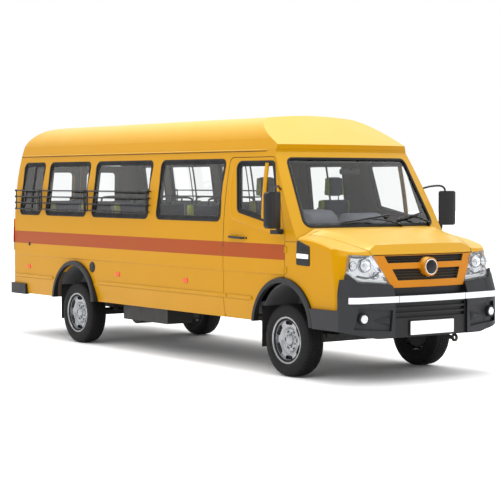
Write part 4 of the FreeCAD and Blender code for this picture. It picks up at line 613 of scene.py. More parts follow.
def meet(origin, way, panels, panes=()):
    """How far a ray goes, where it meets the skin and how that faces. Panes count at the panels' level."""
    nearest = None
    for names, lift in ((panels, 0.0), (panes, GLASS_DEPTH)):
        for name in names:
            spot, normal, _, distance = tree(name).ray_cast(Vector(origin), Vector(way))
            if spot is not None and (nearest is None or distance < nearest[0]):
                nearest = (distance, spot + normal * lift, normal)
    return nearest


def from_front(across, level, *panels):
    """Where the front shows this point of a front view, and the way it faces there."""
    return meet((OUTSIDE, across, level), (-1, 0, 0), panels)[1:]


def facing(start, panels, panes=()):
    """A placing function for (y, z) outlines on the front or rear, which looks from x = start."""
    way = Vector((-1 if start > 0 else 1, 0, 0))

    def place(across, level, proud):
        found = None
        for nudge in (0.0, 0.002, -0.002, 0.006, -0.006):
            found = found or meet((start, across, level + nudge), way, panels, panes)
        return found[1] + found[2] * proud
    return place


def flank(side, names):
    """A placing function for (x, z) outlines on whatever shape the side has there."""
    def place(along, level, proud):
        found = meet((along, side * BESIDE, level), (0, -side, 0), names)
        return found[1] + Vector((0, side, 0)) * proud
    return place


TREAD_HALF, MIDDLE_BLOCKS, SHOULDER_BLOCKS = 0.08, 66, 60


def crown(offset):
    """Outer radius of the tread, a little less towards the shoulders."""
    return TYRE_RADIUS - 0.0008 - 0.0042 * (offset / TREAD_HALF) ** 2


def tread_row(piece, side, section, count, gap, lean, first=0.0):
    """A ring of leaning rubber blocks, each with an outline of (offset, radius) points."""
    step = 2 * math.pi / count
    for index in range(count):
        rows = []
        for edge in (index + first, index + first + 1 - gap):
            angles = [(edge + lean * offset / TREAD_HALF) * step for offset, _ in section]
            rows.append([(radius * math.sin(turn), side * offset, radius * math.cos(turn))
                         for turn, (offset, radius) in zip(angles, section)])
        piece.solid(rows)


def make_tyre(label, body, side, centre):
    """Tyre with a ribbed sidewall, and five rows of tread blocks with sipes between them."""
    wall = [(0.190, 0.083), (0.200, 0.0885), (0.212, 0.0915), (0.226, 0.0945), (0.245, 0.1005),
            (0.262, 0.1040), (0.2635, 0.1060), (0.2725, 0.1064), (0.274, 0.1048), (0.292, 0.1046),
            (0.306, 0.1022), (0.318, 0.0980), (0.3195, 0.0990), (0.328, 0.0940), (0.3375, 0.0850),
            (0.3410, 0.0760), (0.3425, 0.0500), (0.3430, 0.0)]
    piece = Piece(label + "_tread", TYRE, body, centre)
    lathe(piece, [(radius, -offset) for radius, offset in wall] + wall[-2::-1], count=96)
    for low, high, gap, lean in ((-0.0105, 0.0105, 0.10, 0.30), (0.0165, 0.0400, 0.14, 0.45),
                                 (-0.0400, -0.0165, 0.14, 0.45)):
        section = [(low, 0.341), (low + 0.001, crown(low)), (high - 0.001, crown(high)), (high, 0.341)]
        tread_row(piece, side, section, MIDDLE_BLOCKS, gap, lean)
    for way in (-1, 1):
        shoulder = [(0.046, 0.341), (0.047, crown(0.047)), (0.076, crown(0.076)), (0.0865, 0.3425),
                    (0.0955, 0.3300), (0.0955, 0.3240), (0.0900, 0.3290), (0.0820, 0.3370)]
        section = [(way * offset, radius) for offset, radius in shoulder]
        tread_row(piece, side, section, SHOULDER_BLOCKS, 0.20, 0.20, 0.5)
    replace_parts(piece.make(28.0), label)


def oval_cutter(piece, radius, turn, half_long, half_wide):
    """A prism through the wheel with a rounded slot as its outline."""
    depths, outline = (-0.02, 0.12), []
    for angle in turns(20):
        along = half_wide * math.cos(angle) + math.copysign(half_long - half_wide, math.cos(angle))
        swing, level = turn + along / radius, radius + half_wide * math.sin(angle)
        outline.append((level * math.sin(swing), level * math.cos(swing)))
    piece.solid([[(x, depth, z) for x, z in outline] for depth in depths])


def wheel_disc():
    """The silver wheel with six long openings near the rim, six slots round the hub and a raised cap."""
    outline = [(0.0, 0.064), (0.034, 0.0645), (0.043, 0.063), (0.048, 0.058), (0.050, 0.050), (0.055, 0.044),
               (0.066, 0.040), (0.085, 0.039), (0.103, 0.040), (0.112, 0.046), (0.120, 0.055), (0.130, 0.060),
               (0.145, 0.062), (0.170, 0.063), (0.192, 0.064), (0.200, 0.066), (0.205, 0.073), (0.208, 0.086),
               (0.212, 0.0955), (0.218, 0.0995), (0.225, 0.1000), (0.2285, 0.0975), (0.2270, 0.0940),
               (0.2130, 0.0890), (0.2040, 0.0700), (0.1990, 0.0590), (0.1700, 0.0550), (0.1330, 0.0530),
               (0.1150, 0.0400), (0.1000, 0.0330), (0.0500, 0.0330), (0.0, 0.0330)]
    disc, cutter = lathe(Piece("disc", WHEEL), outline, count=96), Piece("cutter", WHEEL)
    for turn in turns(6):
        oval_cutter(cutter, 0.171, turn, 0.055, 0.0205)
        oval_cutter(cutter, 0.090, turn + math.pi / 6, 0.020, 0.0075)
    made = [disc.make(), cutter.make()]
    tool = made[0].modifiers.new("openings", "BOOLEAN")
    tool.object, tool.solver = made[1], "EXACT"
    mesh = shape_as_shown(made[0])
    for thing in made:
        bpy.data.objects.remove(thing)
    return mesh


def make_wheels():
    """Tyres, silver wheels with their rims and nuts, and the brake drums behind them."""
    disc = wheel_disc()
    well = [(0.205, 0.088), (0.198, 0.084), (0.1885, 0.078), (0.186, 0.030), (0.176, 0.010),
            (0.176, -0.040), (0.186, -0.060), (0.189, -0.078), (0.199, -0.084), (0.205, -0.088),
            (0.208, -0.086), (0.201, -0.080), (0.192, -0.074), (0.1895, 0.0), (0.1905, 0.074),
            (0.201, 0.080), (0.208, 0.086)]
    nut = [(0.0, 0.053), (0.007, 0.053), (0.0095, 0.050), (0.0095, 0.036)]
    drum = [(0.0, 0.029), (0.06, 0.029), (0.115, 0.024), (0.140, 0.030), (0.174, 0.044), (0.174, 0.038),
            (0.160, 0.006), (0.158, -0.050), (0.166, -0.052), (0.166, -0.060), (0.150, -0.066),
            (0.06, -0.066)]
    nut_circle = 0.066
    for end, axle in (("front", FRONT), ("rear", REAR)):
        for side, name in SIDES:
            place, out = "%s_%s" % (end, name), (0, side, 0)
            body, centre = "wheel_" + place, (axle, side * HALF_TRACK, TYRE_RADIUS)
            make_tyre("tyre_" + place, body, side, centre)
            mesh = disc.copy()
            mesh.transform(Matrix.Diagonal((1, side, 1, 1)))
            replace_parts(finish_mesh(mesh, body + "_disc", WHEEL, body, centre, 30.0), "rim_" + place)
            rim = lathe(Piece(body + "_well", WHEEL, body, centre), well, axis=out, count=72, closed=True)
            for turn in turns(6):
                lathe(rim, nut, (nut_circle * math.sin(turn), 0, nut_circle * math.cos(turn)), out, 6)
            rim.make(28.0)
            lathe(Piece("drum_" + place, STEEL, body, centre), drum, axis=out).make(28.0)


# Sections of (outward, proud) points that run round the panes
SEAL_SECTION = [(0.011, 0.0), (0.0105, 0.0035), (0.004, 0.006), (-0.006, 0.0055), (-0.012, 0.001),
                (-0.0125, SLIDER_DEPTH)]
FRAME_SECTION = [(-0.0125, SLIDER_DEPTH), (-0.0130, -0.0060), (-0.0400, -0.0060), (-0.0420, -0.0080),
                 (-0.0425, SLIDER_DEPTH)]
INNER_SECTION = [(0.010, -0.0175), (-0.030, -0.0175), (-0.036, -0.0240), (-0.030, -0.0440), (-0.010, -0.0460)]
CAB_WINDOW = from_axle((-0.878, 2.072), (-0.775, 1.580), (-0.300, 1.492), (-0.055, 1.492), (-0.262, 2.072))
ENTRY_WINDOW = oblong(FRONT - 1.929, 1.231, FRONT - 1.271, 2.076)


def pane_edge(piece, corners, place):
    """Rubber seal, black frame and inner trim round one pane."""
    outline = rounded(corners, WINDOW_CORNER)
    for section in (SEAL_SECTION, FRAME_SECTION, INNER_SECTION):
        around(piece, outline, place, section)
    return piece


def stile(piece, place, along, low, high, half=0.014):
    """An upright of a sliding pane, over the glass."""
    section = ((-half, SLIDER_DEPTH), (-half, -0.0070), (half, -0.0070), (half, SLIDER_DEPTH))
    return piece.solid([[place(along + far, level, proud) for far, proud in section]
                        for level in spread(low, high, 8)])


def make_windows():
    """Seals, sliding frames and dividers of the side windows and doors."""
    divider = ((-0.030, -0.0115), (-0.029, -0.004), (-0.020, 0.0), (0.020, 0.0), (0.029, -0.004),
               (0.030, -0.0115))
    divider_low, divider_high, divider_at, lean = 1.495, 2.070, FRONT - 0.352, 0.06
    stile_levels = WINDOW_LOW + 0.03, WINDOW_HIGH - 0.03
    first_stile, second_stile = 0.48, 0.56
    for side, name in SIDES:
        place = on_side(side)
        seals = Piece("window_seals_" + name, SEAL)
        for label, (front, length) in WINDOWS.items():
            if side == LEFT and label == "four":
                continue
            start = FRONT + front
            pane_edge(seals, oblong(start - length, WINDOW_LOW, start, WINDOW_HIGH), place)
            if label == "one" or side == LEFT:
                stile(seals, place, start - length * first_stile, *stile_levels)
            if label != "one" and side == LEFT:
                stile(seals, place, start - length * second_stile, *stile_levels, 0.008)
        seals.make()
        door = CAB_DOOR[side]
        pane_edge(Piece(door + "_seal", SEAL, door), CAB_WINDOW, place).make()
        rows = [[place(divider_at - (level - divider_low) * lean + far, level, proud)
                 for far, proud in divider] for level in spread(divider_low, divider_high, 10)]
        Piece(door + "_divider", PLAIN_PAINT, door).solid(rows).make(50.0)
    edge = pane_edge(Piece("door_entry_seal", SEAL, "door_entry"), ENTRY_WINDOW, on_side(LEFT))
    stile(edge, on_side(LEFT), FRONT - 1.60, 1.26, 2.05).make()


def make_back_windows():
    """Rubber seals of the panes in the back doors."""
    for side, name in SIDES:
        body = "back_door_" + name
        outline = rounded(mirrored(side, (0.090, 1.420), (0.545, 1.420), (0.530, 2.000), (0.090, 2.000)),
                          WINDOW_CORNER)
        place = facing(-OUTSIDE, [body], [body + "_glass"])
        around(Piece(body + "_seal", SEAL, body), outline, place, SEAL_SECTION).make()


def make_windscreen():
    """Rubber seal and black border of the windscreen, and the mirror behind it."""
    outline = rounded([(-0.820, 1.445), (0.820, 1.445), (0.752, 2.100), (-0.752, 2.100)], WINDOW_CORNER, 8)
    longest, dense = 0.08, []
    for point, following in zip(outline, outline[1:] + outline[:1]):
        dense += spread(point, following, max(1, int((following - point).length / longest)))[:-1]
    place = facing(OUTSIDE, ["windscreen_frame"], ["windscreen"])
    around(Piece("windscreen_seal", SEAL), dense, place,
           [(0.012, -0.001), (0.0115, 0.003), (0.004, 0.0055), (-0.008, 0.004), (-0.014, 0.0),
            (-0.015, -0.0115)]).make()
    around(Piece("windscreen_border", GLOSS_BLACK), dense, place,
           [(-0.002, -0.0185), (-0.034, -0.0185), (-0.034, -0.0195), (-0.002, -0.0195)]).make()
    shell = rounded([(-0.13, 1.945), (0.13, 1.945), (0.125, 2.005), (-0.125, 2.005)], 0.022)
    level = 1.975
    mirror = Piece("inside_mirror", DARK).solid(
        [(FRONT - back, point.x * narrow, level + (point.y - level) * low) for point in shell]
        for back, narrow, low in ((0.165, 1.0, 1.0), (0.150, 1.0, 1.0), (0.138, 0.86, 0.7)))
    stalk = [(FRONT - 0.142, 0, 1.985), (FRONT - 0.120, 0, 2.015), (FRONT - 0.128, 0, 2.045)]
    tube(mirror, stalk, 0.008).make()


def make_bar_ends():
    """Round ends of the window guard bars and their fixing plates."""
    lowest, pitch, reach, proud, foot_back, half = 1.546, 0.074, 0.045, 0.040, 0.057, 0.016
    knob = [(0.0, 0.016), (0.007, 0.0145), (0.0125, 0.009), (0.0145, 0.0), (0.0125, -0.009), (0.008, -0.014)]
    for side, name in SIDES:
        piece, place = Piece("bar_ends_" + name, BAR_BLACK), on_side(side)
        for front, length in (WINDOWS[label] for label in ("three", "two", "one")):
            for at, way in ((FRONT + front + reach, 1), (FRONT + front - length - reach, -1)):
                for level in (lowest + pitch * index for index in range(4)):
                    lathe(piece, knob, (at, place(at, lowest, proud).y, level), (way, 0, 0), 14)
                    foot = at - way * foot_back
                    outline = rounded(oblong(foot - half, level - half, foot + half, level + half), 0.008, 3)
                    plate(piece, outline, place, 0.004, 0.004)
        piece.make()


def make_side_trim():
    """Gutters with a black strip under each as painted shadow, swages under the cab windows, sill ridges,
    vents, reflectors, fuel flap and vent hole.
    """
    back, steps = -3.235, 40
    rail = ((2.178, 0.0005), (2.179, 0.006), (2.183, 0.0115), (2.188, 0.012), (2.192, 0.007), (2.194, 0.001))
    for side, name in SIDES:
        place = on_side(side)
        rows = []
        for step, along in enumerate(spread(back, FRONT - 0.40, steps)):
            fade = min(1.0, step / 2, (steps - step) / 2 + 0.15)
            rows.append([place(along, level, proud * fade) for level, proud in rail])
        Piece("gutter_" + name, PLAIN_PAINT).strip(rows).make()
        # Painted shadow: a thin black strip just under each gutter, where the gutter's shade falls.
        rows = [[place(along, 2.172, 0.0006), place(along, 2.178, 0.0025)]
                for along in spread(back, FRONT - 0.42, steps)]
        Piece("gutter_painted_shadow_" + name, SEAL).strip(rows).make()
        make_swage(side)
        make_sill_ridge(side, name)
        make_fender_vent(side, name)
        make_small_trim(side, name)


def make_swage(side):
    """The pressed line behind and under the cab window."""
    path = [Vector(point) for point in from_axle(
        (-0.935, 2.060), (-0.930, 1.85), (-0.912, 1.66), (-0.893, 1.560), (-0.855, 1.518), (-0.780, 1.497),
        (-0.55, 1.455), (-0.30, 1.409), (-0.10, 1.378), (0.008, 1.366))]
    section = ((-0.016, 0.0002), (-0.010, 0.0032), (-0.003, 0.0055), (0.006, 0.0052), (0.016, 0.0030),
               (0.028, 0.0010), (0.040, 0.0002))
    rows = []
    for index, point in enumerate(path):
        along = path[min(index + 1, len(path) - 1)] - path[max(index - 1, 0)]
        out = Vector((along.y, -along.x)).normalized()
        fade = 0.25 if index in (0, len(path) - 1) else 1.0
        rows.append([on_side(side)(*(point - out * far), proud * fade) for far, proud in section])
    Piece(CAB_DOOR[side] + "_swage", PLAIN_PAINT, CAB_DOOR[side]).strip(rows).make(60.0)


def make_sill_ridge(side, name):
    """The pressed ridge low on the side, in one length for each panel between the wheel arches."""
    arch, back, cab_back = 0.520, -3.220, FRONT - 0.952
    panels = [("body", back, REAR - arch), (CAB_DOOR[side], FRONT - 0.925, FRONT - arch)]
    if side == RIGHT:
        panels += [("body", REAR + arch, cab_back)]
    else:
        panels += [("body", REAR + arch, FRONT - 2.036), ("door_entry", FRONT - 2.014, FRONT - 1.186),
                   ("body", FRONT - 1.164, cab_back)]
    section = ((-0.016, 0.0004), (-0.010, 0.0016), (-0.003, 0.0056), (0.003, 0.0060), (0.009, 0.0042),
               (0.018, 0.0004))
    for index, (body, start, end) in enumerate(panels):
        rows = [[on_side(side)(along, SILL_RIDGE + rise, proud * (0.3 if step in (0, 16) else 1.0))
                 for rise, proud in section] for step, along in enumerate(spread(start, end, 16))]
        Piece("sill_ridge_%s_%d" % (name, index), PLAIN_PAINT, body).strip(rows).make(60.0)


def make_fender_vent(side, name):
    """Black vent plate on the fender with a white lamp across it."""
    place = flank(side, ["fender_" + name])
    base = Piece("fender_vent_" + name, DARK)
    outline = rounded(from_axle((0.207, 1.088), (0.412, 1.082), (0.408, 1.268), (0.215, 1.324)), 0.018)
    plate(base, outline, place, 0.009, 0.009, 0.004)
    for level in (1.112, 1.132, 1.216, 1.238, 1.260):
        slat = rounded(oblong(FRONT + 0.230, level, FRONT + 0.392, level + 0.008), 0.003, 3)
        plate(base, slat, place, 0.0125, 0.004, 0.002)
    base.make()
    outline = rounded(from_axle((0.222, 1.152), (0.396, 1.150), (0.398, 1.192), (0.222, 1.198)), 0.008)
    plate(Piece("fender_lamp_" + name, WHITE), outline, place, 0.016, 0.007, 0.004).make()


def make_small_trim(side, name):
    """Amber reflectors, a vent near the rear and, on the right side, the fuel flap with its grip."""
    wall = flank(side, ["side_wall_" + name, "rear_frame"])
    lights, rims = Piece("side_reflectors_" + name, AMBER), Piece("reflector_rims_" + name, DARK)
    for along in (-2.870, -0.790, 0.570) if side == RIGHT else (-2.870, -0.790):
        outline = rounded(oblong(along - 0.040, 0.820, along + 0.040, 0.868), 0.006, 3)
        plate(lights, outline, wall, 0.008, 0.007, 0.003)
    lights.make()
    flap, vent = (-1.350, 0.900, 0.062), (-2.840, 1.120, 0.024)
    for along, level, radius in (flap, vent) if side == RIGHT else (vent,):
        plate(rims, ring(along, level, radius), wall, 0.005, 0.005, 0.003)
        plate(rims, ring(along, level, radius * 0.72), wall, 0.009, 0.005, 0.004)
    if side == RIGHT:
        along, level, _ = flap
        grip = rounded(oblong(along - 0.034, level - 0.006, along + 0.034, level + 0.006), 0.005, 3)
        plate(rims, grip, wall, 0.015, 0.007, 0.003)
    rims.make()


def make_handles():
    """Pull handles with a finger recess behind them, and a lock beside each."""
    bow = ((-0.118, 0.004), (-0.108, 0.022), (-0.085, 0.032), (0.0, 0.036), (0.085, 0.032), (0.108, 0.022),
           (0.118, 0.004))
    cup = ((0.056, 0.0004), (0.050, 0.0042), (0.044, 0.0046), (0.038, 0.0012), (0.020, 0.0008))
    for body, side, along, level in (("door_driver", RIGHT, FRONT - 0.760, 1.322),
                                     ("door_codriver", LEFT, FRONT - 0.760, 1.322),
                                     ("door_entry", LEFT, FRONT - 1.290, 1.150)):
        place = on_side(side)
        grip = Piece(body + "_handle", DARK, body)
        path = [place(along + far, level - 0.03 * far, proud) for far, proud in bow]
        tube(grip, smooth_path(path, 4), [0.014] * 4 + [0.0165] * 17 + [0.014] * 4, 12, 0.72)
        plate(grip, ring(along + 0.150, level - 0.004, 0.013, 20), place, 0.004, 0.004, 0.002).make()
        rows = [[place(along + radius * math.cos(turn), level + radius * 0.78 * math.sin(turn), proud)
                 for turn in spread(0, math.pi, 18)] for radius, proud in cup]
        Piece(body + "_cup", PLAIN_PAINT, body).strip(rows).make(60.0)
    for side, name in SIDES:
        body = "back_door_" + name
        place = facing(-OUTSIDE, [body])
        path = [place(side * 0.085, level, proud) for level, proud in
                ((1.060, 0.0), (1.070, 0.007), (1.100, 0.010), (1.180, 0.010), (1.210, 0.007), (1.220, 0.0))]
        tube(Piece(body + "_handle", DARK, body), smooth_path(path, 4), 0.009, 12, 0.8).make()


def lamp_region(side):
    """The outer faces of one headlamp, as a mesh that can be offset."""
    shape = bmesh.new()
    shape.from_mesh(frame["nodes"]["headlamps"].data)
    backward, lift, reach, hidden = -0.3, 0.0004, 0.05, []
    for face in shape.faces:
        middle, normal = face.calc_center_median(), face.normal
        shows = middle.y * side > 0 and normal.x > backward and not any(
            tree(name).ray_cast(middle + normal * lift, normal, reach)[0] is not None
            for name in ("grille", "front_bumper", "bonnet", "fender_right", "fender_left"))
        if not shows:
            hidden.append(face)
    bmesh.ops.delete(shape, geom=hidden, context="FACES")
    bmesh.ops.remove_doubles(shape, verts=shape.verts, dist=0.0005)
    return shape


def thickened(shape, thickness, name, finish):
    """A piece made from an open surface by giving it a thickness."""
    bmesh.ops.solidify(shape, geom=shape.faces[:], thickness=thickness)
    mesh = bpy.data.meshes.new(name)
    shape.to_mesh(mesh)
    shape.free()
    return finish_mesh(mesh, name, finish, sharp=30.0)


def make_headlamps():
    """A clear cover, a silver bowl behind it, reflectors with rims and bulbs, and light and dark lines."""
    rim_depth, bowl_depth, bowl_share = 0.004, 0.042, 0.93
    for side, name in SIDES:
        cover = lamp_region(side)
        inward = -sum((face.normal * face.calc_area() for face in cover.faces), Vector()).normalized()
        middle = sum((point.co for point in cover.verts), Vector()) / len(cover.verts)
        bowl = cover.copy()
        border = [line for line in bowl.edges if len(line.link_faces) == 1]
        grown = bmesh.ops.extrude_edge_only(bowl, edges=border)
        fresh = {point for point in grown["geom"] if isinstance(point, bmesh.types.BMVert)}
        for point in bowl.verts:
            if point in fresh:
                point.co += inward * rim_depth
            else:
                point.co = middle + (point.co - middle) * bowl_share + inward * bowl_depth
        bmesh.ops.recalc_face_normals(bowl, faces=bowl.faces)
        parts = [thickened(cover, 0.003, "headlamp_cover_" + name, CLEAR),
                 thickened(bowl, 0.0015, "headlamp_bowl_" + name, REFLECTOR)]
        cups = Piece("headlamp_reflectors_" + name, REFLECTOR)
        bulbs = Piece("headlamp_bulbs_" + name, WHITE)
        rims = Piece("headlamp_rims_" + name, GLOSS_BLACK)

        def behind(across, level, depth):
            return from_front(side * across, level, "headlamps")[0] - Vector((depth, 0, 0))
        for piece, depth, radius, sides, line in (
                (bulbs, 0.012, 0.008, 10, ((0.500, 0.946), (0.600, 0.954), (0.700, 0.962), (0.790, 0.972),
                                           (0.850, 1.010), (0.880, 1.050))),
                (rims, 0.014, 0.0065, 8, ((0.565, 1.040), (0.620, 1.000), (0.700, 0.990),
                                          (0.800, 1.010))),
                (rims, 0.014, 0.0065, 8, ((0.655, 1.185), (0.760, 1.180), (0.870, 1.188)))):
            tube(piece, smooth_path([behind(*spot, depth) for spot in line], 3), radius, sides)
        for across, level, radius in ((0.700, 1.105, 0.064), (0.825, 1.100, 0.044), (0.600, 1.010, 0.034)):
            spot = behind(across, level, 0.016)
            cup = ((0.0, -0.034), (0.3, -0.032), (0.65, -0.023), (0.9, -0.006), (0.95, 0.0), (0.98, -0.004),
                   (0.7, -0.026), (0.3, -0.036), (0.0, -0.038))
            rim = ((1.0, -0.008), (1.0, 0.002), (0.96, 0.004), (0.93, 0.0), (0.96, -0.008))
            bulb = ((0.0, -0.004), (0.008, -0.006), (0.011, -0.014), (0.011, -0.030), (0.0, -0.033))
            lathe(cups, [(radius * share, along) for share, along in cup], spot, AHEAD, 32)
            lathe(rims, [(radius * share, along) for share, along in rim], spot, AHEAD, 32, closed=True)
            lathe(bulbs, bulb, spot, AHEAD, 16)
        for part in parts + [cups.make(), bulbs.make(), rims.make()]:
            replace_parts(part, "headlamps")


def make_badge():
    """Bright ring and blank disc on the grille."""
    spot = (FRONT + 1.040, 0, BADGE_LEVEL)
    lathe(Piece("grille_ring", CHROME),
          [(0.075, -0.004), (0.075, 0.004), (0.073, 0.009), (0.070, 0.0105), (0.067, 0.009), (0.0655, 0.003),
           (0.0655, -0.004)], spot, AHEAD, 64, closed=True).make()
    lathe(Piece("grille_disc", GLOSS_BLACK),
          [(0.0, 0.009), (0.022, 0.0086), (0.044, 0.0066), (0.060, 0.003), (0.0654, 0.0), (0.0654, -0.004),
           (0.0, -0.004)], spot, AHEAD, 64).make()


def make_fog_lamps():
    """Fog lamps in the bumper's recesses, and the raised facets inside them."""
    bezels = Piece("fog_lamp_bezels", DARK)
    bowls = Piece("fog_lamp_bowls", REFLECTOR)
    lenses = Piece("fog_lamp_lenses", CLEAR)
    across, level, proud, ahead_share = 0.800, 0.620, 0.018, 1.2
    for side in (RIGHT, LEFT):
        found, normal = from_front(side * across, level, "front_bumper")
        out = (normal + Vector((ahead_share, 0, 0))).normalized()
        spot = found + out * proud
        lathe(bezels, [(0.054, -0.030), (0.054, 0.001), (0.050, 0.006), (0.043, 0.007), (0.039, 0.002),
                       (0.039, -0.030)], spot, out, 40, closed=True)
        lathe(bowls, [(0.0, -0.014), (0.010, -0.013), (0.012, -0.008), (0.018, -0.012), (0.030, -0.006),
                      (0.0385, 0.0), (0.0385, -0.010), (0.020, -0.022), (0.0, -0.024)], spot, out, 40)
        lathe(lenses, [(0.0, 0.0050), (0.018, 0.0046), (0.030, 0.0036), (0.0385, 0.0015), (0.0385, -0.0005),
                       (0.028, 0.0010), (0.018, 0.0020), (0.0, 0.0025)], spot, out, 40)
    for piece in (bezels, bowls, lenses):
        piece.make()
    facets, place = Piece("bumper_facets", DARK), facing(OUTSIDE, ["front_bumper"])
    for side in (RIGHT, LEFT):
        outline = rounded(mirrored(side, (0.496, 0.640), (0.496, 0.535), (0.690, 0.600)), 0.010, 4)
        peak = Vector((side * 0.530, 0.594))
        facets.solid([[place(*point.lerp(peak, share), proud) for point in outline]
                      for share, proud in ((0.0, -0.003), (0.0, 0.003), (0.5, 0.022), (0.9, 0.036))])
    facets.make(25.0)


def make_number_plate():
    """A blank number plate and its frame, on the bumper's foremost face."""
    reach = max(from_front(across, level, "front_bumper")[0].x
                for across in (-0.27, 0.0, 0.27) for level in (0.46, 0.50, 0.55, 0.575))
    outline = rounded(oblong(-0.278, 0.445, 0.278, 0.583), 0.012)

    def place(across, level, proud):
        return Vector((reach + proud, across, level))
    plate(Piece("number_plate", WHITE), outline, place, 0.0035, 0.0025, 0.001).make()
    around(Piece("number_plate_frame", DARK), outline, place,
           [(0.005, -0.003), (0.005, 0.004), (0.0, 0.006), (-0.005, 0.005), (-0.006, 0.0)]).make()


def make_mirrors():
    """Glass, edge, foot and arms of the door mirrors."""
    for side, name in SIDES:
        body = CAB_DOOR[side]
        outline = rounded(mirrored(side, (1.042, 1.452), (1.198, 1.452), (1.198, 1.760), (1.042, 1.760)),
                          [0.018, 0.036, 0.036, 0.024])

        def place(across, level, proud):
            return Vector((FRONT + 0.035 - proud, across, level))
        plate(Piece("mirror_glass_" + name, MIRROR, body), outline, place, 0.0015, 0.003).make()
        edge = Piece("mirror_edge_" + name, DARK, body)
        around(edge, outline, place, [(0.010, -0.002), (0.008, 0.006), (0.001, 0.007), (-0.002, 0.001)])
        foot = [(FRONT - 0.036, side * (half_width(1.395) + far), level) for far, level in
                ((-0.002, 1.395), (0.030, 1.395), (0.060, 1.398))]
        tube(edge, foot, [0.040, 0.032, 0.026], 16, 0.7)
        tube(edge, [(FRONT + 0.043, side * 1.045, 1.400), (FRONT + 0.043, side * 1.046, 1.440)], 0.021, 14)
        loop = [(FRONT + along, side * across, level) for along, across, level in
                ((0.058, 1.090, 1.765), (0.056, 1.084, 1.805), (0.030, 1.050, 1.832), (-0.040, 0.975, 1.826),
                 (-0.108, 0.906, 1.800))]
        tube(edge, smooth_path(loop, 4), 0.010).make()


def make_wipers():
    """Two arms with blades along the bottom of the windscreen."""
    place = facing(OUTSIDE, ["windscreen_frame", "scuttle"], ["windscreen"])
    arms, blades = Piece("wiper_arms", GLOSS_BLACK), Piece("wiper_blades", SEAL)
    for ends in (((-0.430, 1.462), (0.217, 1.535), (0.300, 1.436)),
                 ((0.278, 1.482), (0.681, 1.548), (0.735, 1.440))):
        start, end, pivot = map(Vector, ends)
        line = spread(start, end, 16)
        tube(blades, [place(*point, 0.006) for point in line], 0.004, 8)
        tube(arms, [place(*point, 0.015) for point in line], [0.005] + [0.009] * 15 + [0.005], 10)
        arm = [place(*point, 0.026 + 0.012 * math.sin(math.pi * step / 10))
               for step, point in enumerate(spread(pivot, (start + end) / 2, 10))]
        tube(arms, arm, [0.014] * 4 + [0.011] * 7, 10, 0.6)
        lathe(arms, [(0.0, 0.040), (0.014, 0.038), (0.020, 0.028), (0.022, 0.004), (0.022, -0.004),
                     (0.0, -0.004)], place(*pivot, 0.0), (0.72, 0, 0.69), 24)
    for piece in (arms, blades):
        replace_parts(piece.make(), "wipers")


PRESSURE, CLOTH_STEPS, SWELLING = 4.0, 20, 0.012
SEAM_WIDTH, SEAM_DEPTH = 0.011, 0.009


def blown_up(thing):
    """Where the points of a pad lie once it is blown up as cloth, without gravity."""
    cloth = thing.modifiers.new("cloth", "CLOTH")
    cloth.settings.use_pressure = True
    cloth.settings.uniform_pressure_force = PRESSURE
    cloth.settings.quality = 4
    cloth.settings.effector_weights.gravity = 0.0
    for step in range(1, CLOTH_STEPS + 1):
        bpy.context.scene.frame_set(step)
        bpy.context.view_layer.update()
    blown = thing.evaluated_get(bpy.context.evaluated_depsgraph_get()).data
    moved = [point.co.copy() for point in blown.vertices]
    thing.modifiers.clear()
    bpy.context.scene.frame_set(1)
    return moved


def pad_form(size, voxel, cap, seams, taper=0.0):
    """A stuffed pad: a rounded block, remeshed, blown up as cloth and then drawn in along its seams."""
    size = Vector(size)
    start = bmesh.new()
    bmesh.ops.create_cube(start, size=1.0)
    for point in start.verts:
        point.co = Vector(part * (full - SWELLING) for part, full in zip(point.co, size))
    bmesh.ops.bevel(start, geom=start.edges[:], offset=min(size) * 0.30, segments=3, profile=0.6,
                    affect="EDGES")
    for point in start.verts:
        point.co.y *= 1.0 - taper * (point.co.z / size.z + 0.5) ** 2
    mesh = bpy.data.meshes.new("pad_start")
    start.to_mesh(mesh)
    start.free()
    thing = bpy.data.objects.new("pad_start", mesh)
    bpy.context.collection.objects.link(thing)
    tool = thing.modifiers.new("voxels", "REMESH")
    tool.mode, tool.voxel_size = "VOXEL", voxel
    thing.data = shape_as_shown(thing)
    thing.modifiers.clear()
    rest = [point.co.copy() for point in thing.data.vertices]
    moved = blown_up(thing)
    for point, old, new in zip(thing.data.vertices, rest, moved):
        step = new - old
        point.co = old + step * min(1.0, cap / max(step.length, cap))
    thing.modifiers.new("fine", "SUBSURF").levels = 1
    mesh = shape_as_shown(thing)
    bpy.data.objects.remove(thing)
    normals = [point.normal.copy() for point in mesh.vertices]
    for point, normal in zip(mesh.vertices, normals):
        depth = sum(math.exp(-((point.co[axis] - at) / SEAM_WIDTH) ** 2)
                    for axis, at in seams if abs(normal[axis]) < 0.6)
        point.co -= normal * (SEAM_DEPTH * min(1.0, depth))
    return mesh


def put_pad(mesh, name, centre, fabric):
    """A copy of a pad, set in its place."""
    pad = finish_mesh(mesh.copy(), name, fabric, "body", centre, 180.0)
    return pad


BENCH_MIDDLE, BENCH_FIRST, BENCH_PITCH = 0.555, FRONT - 1.760, 0.740


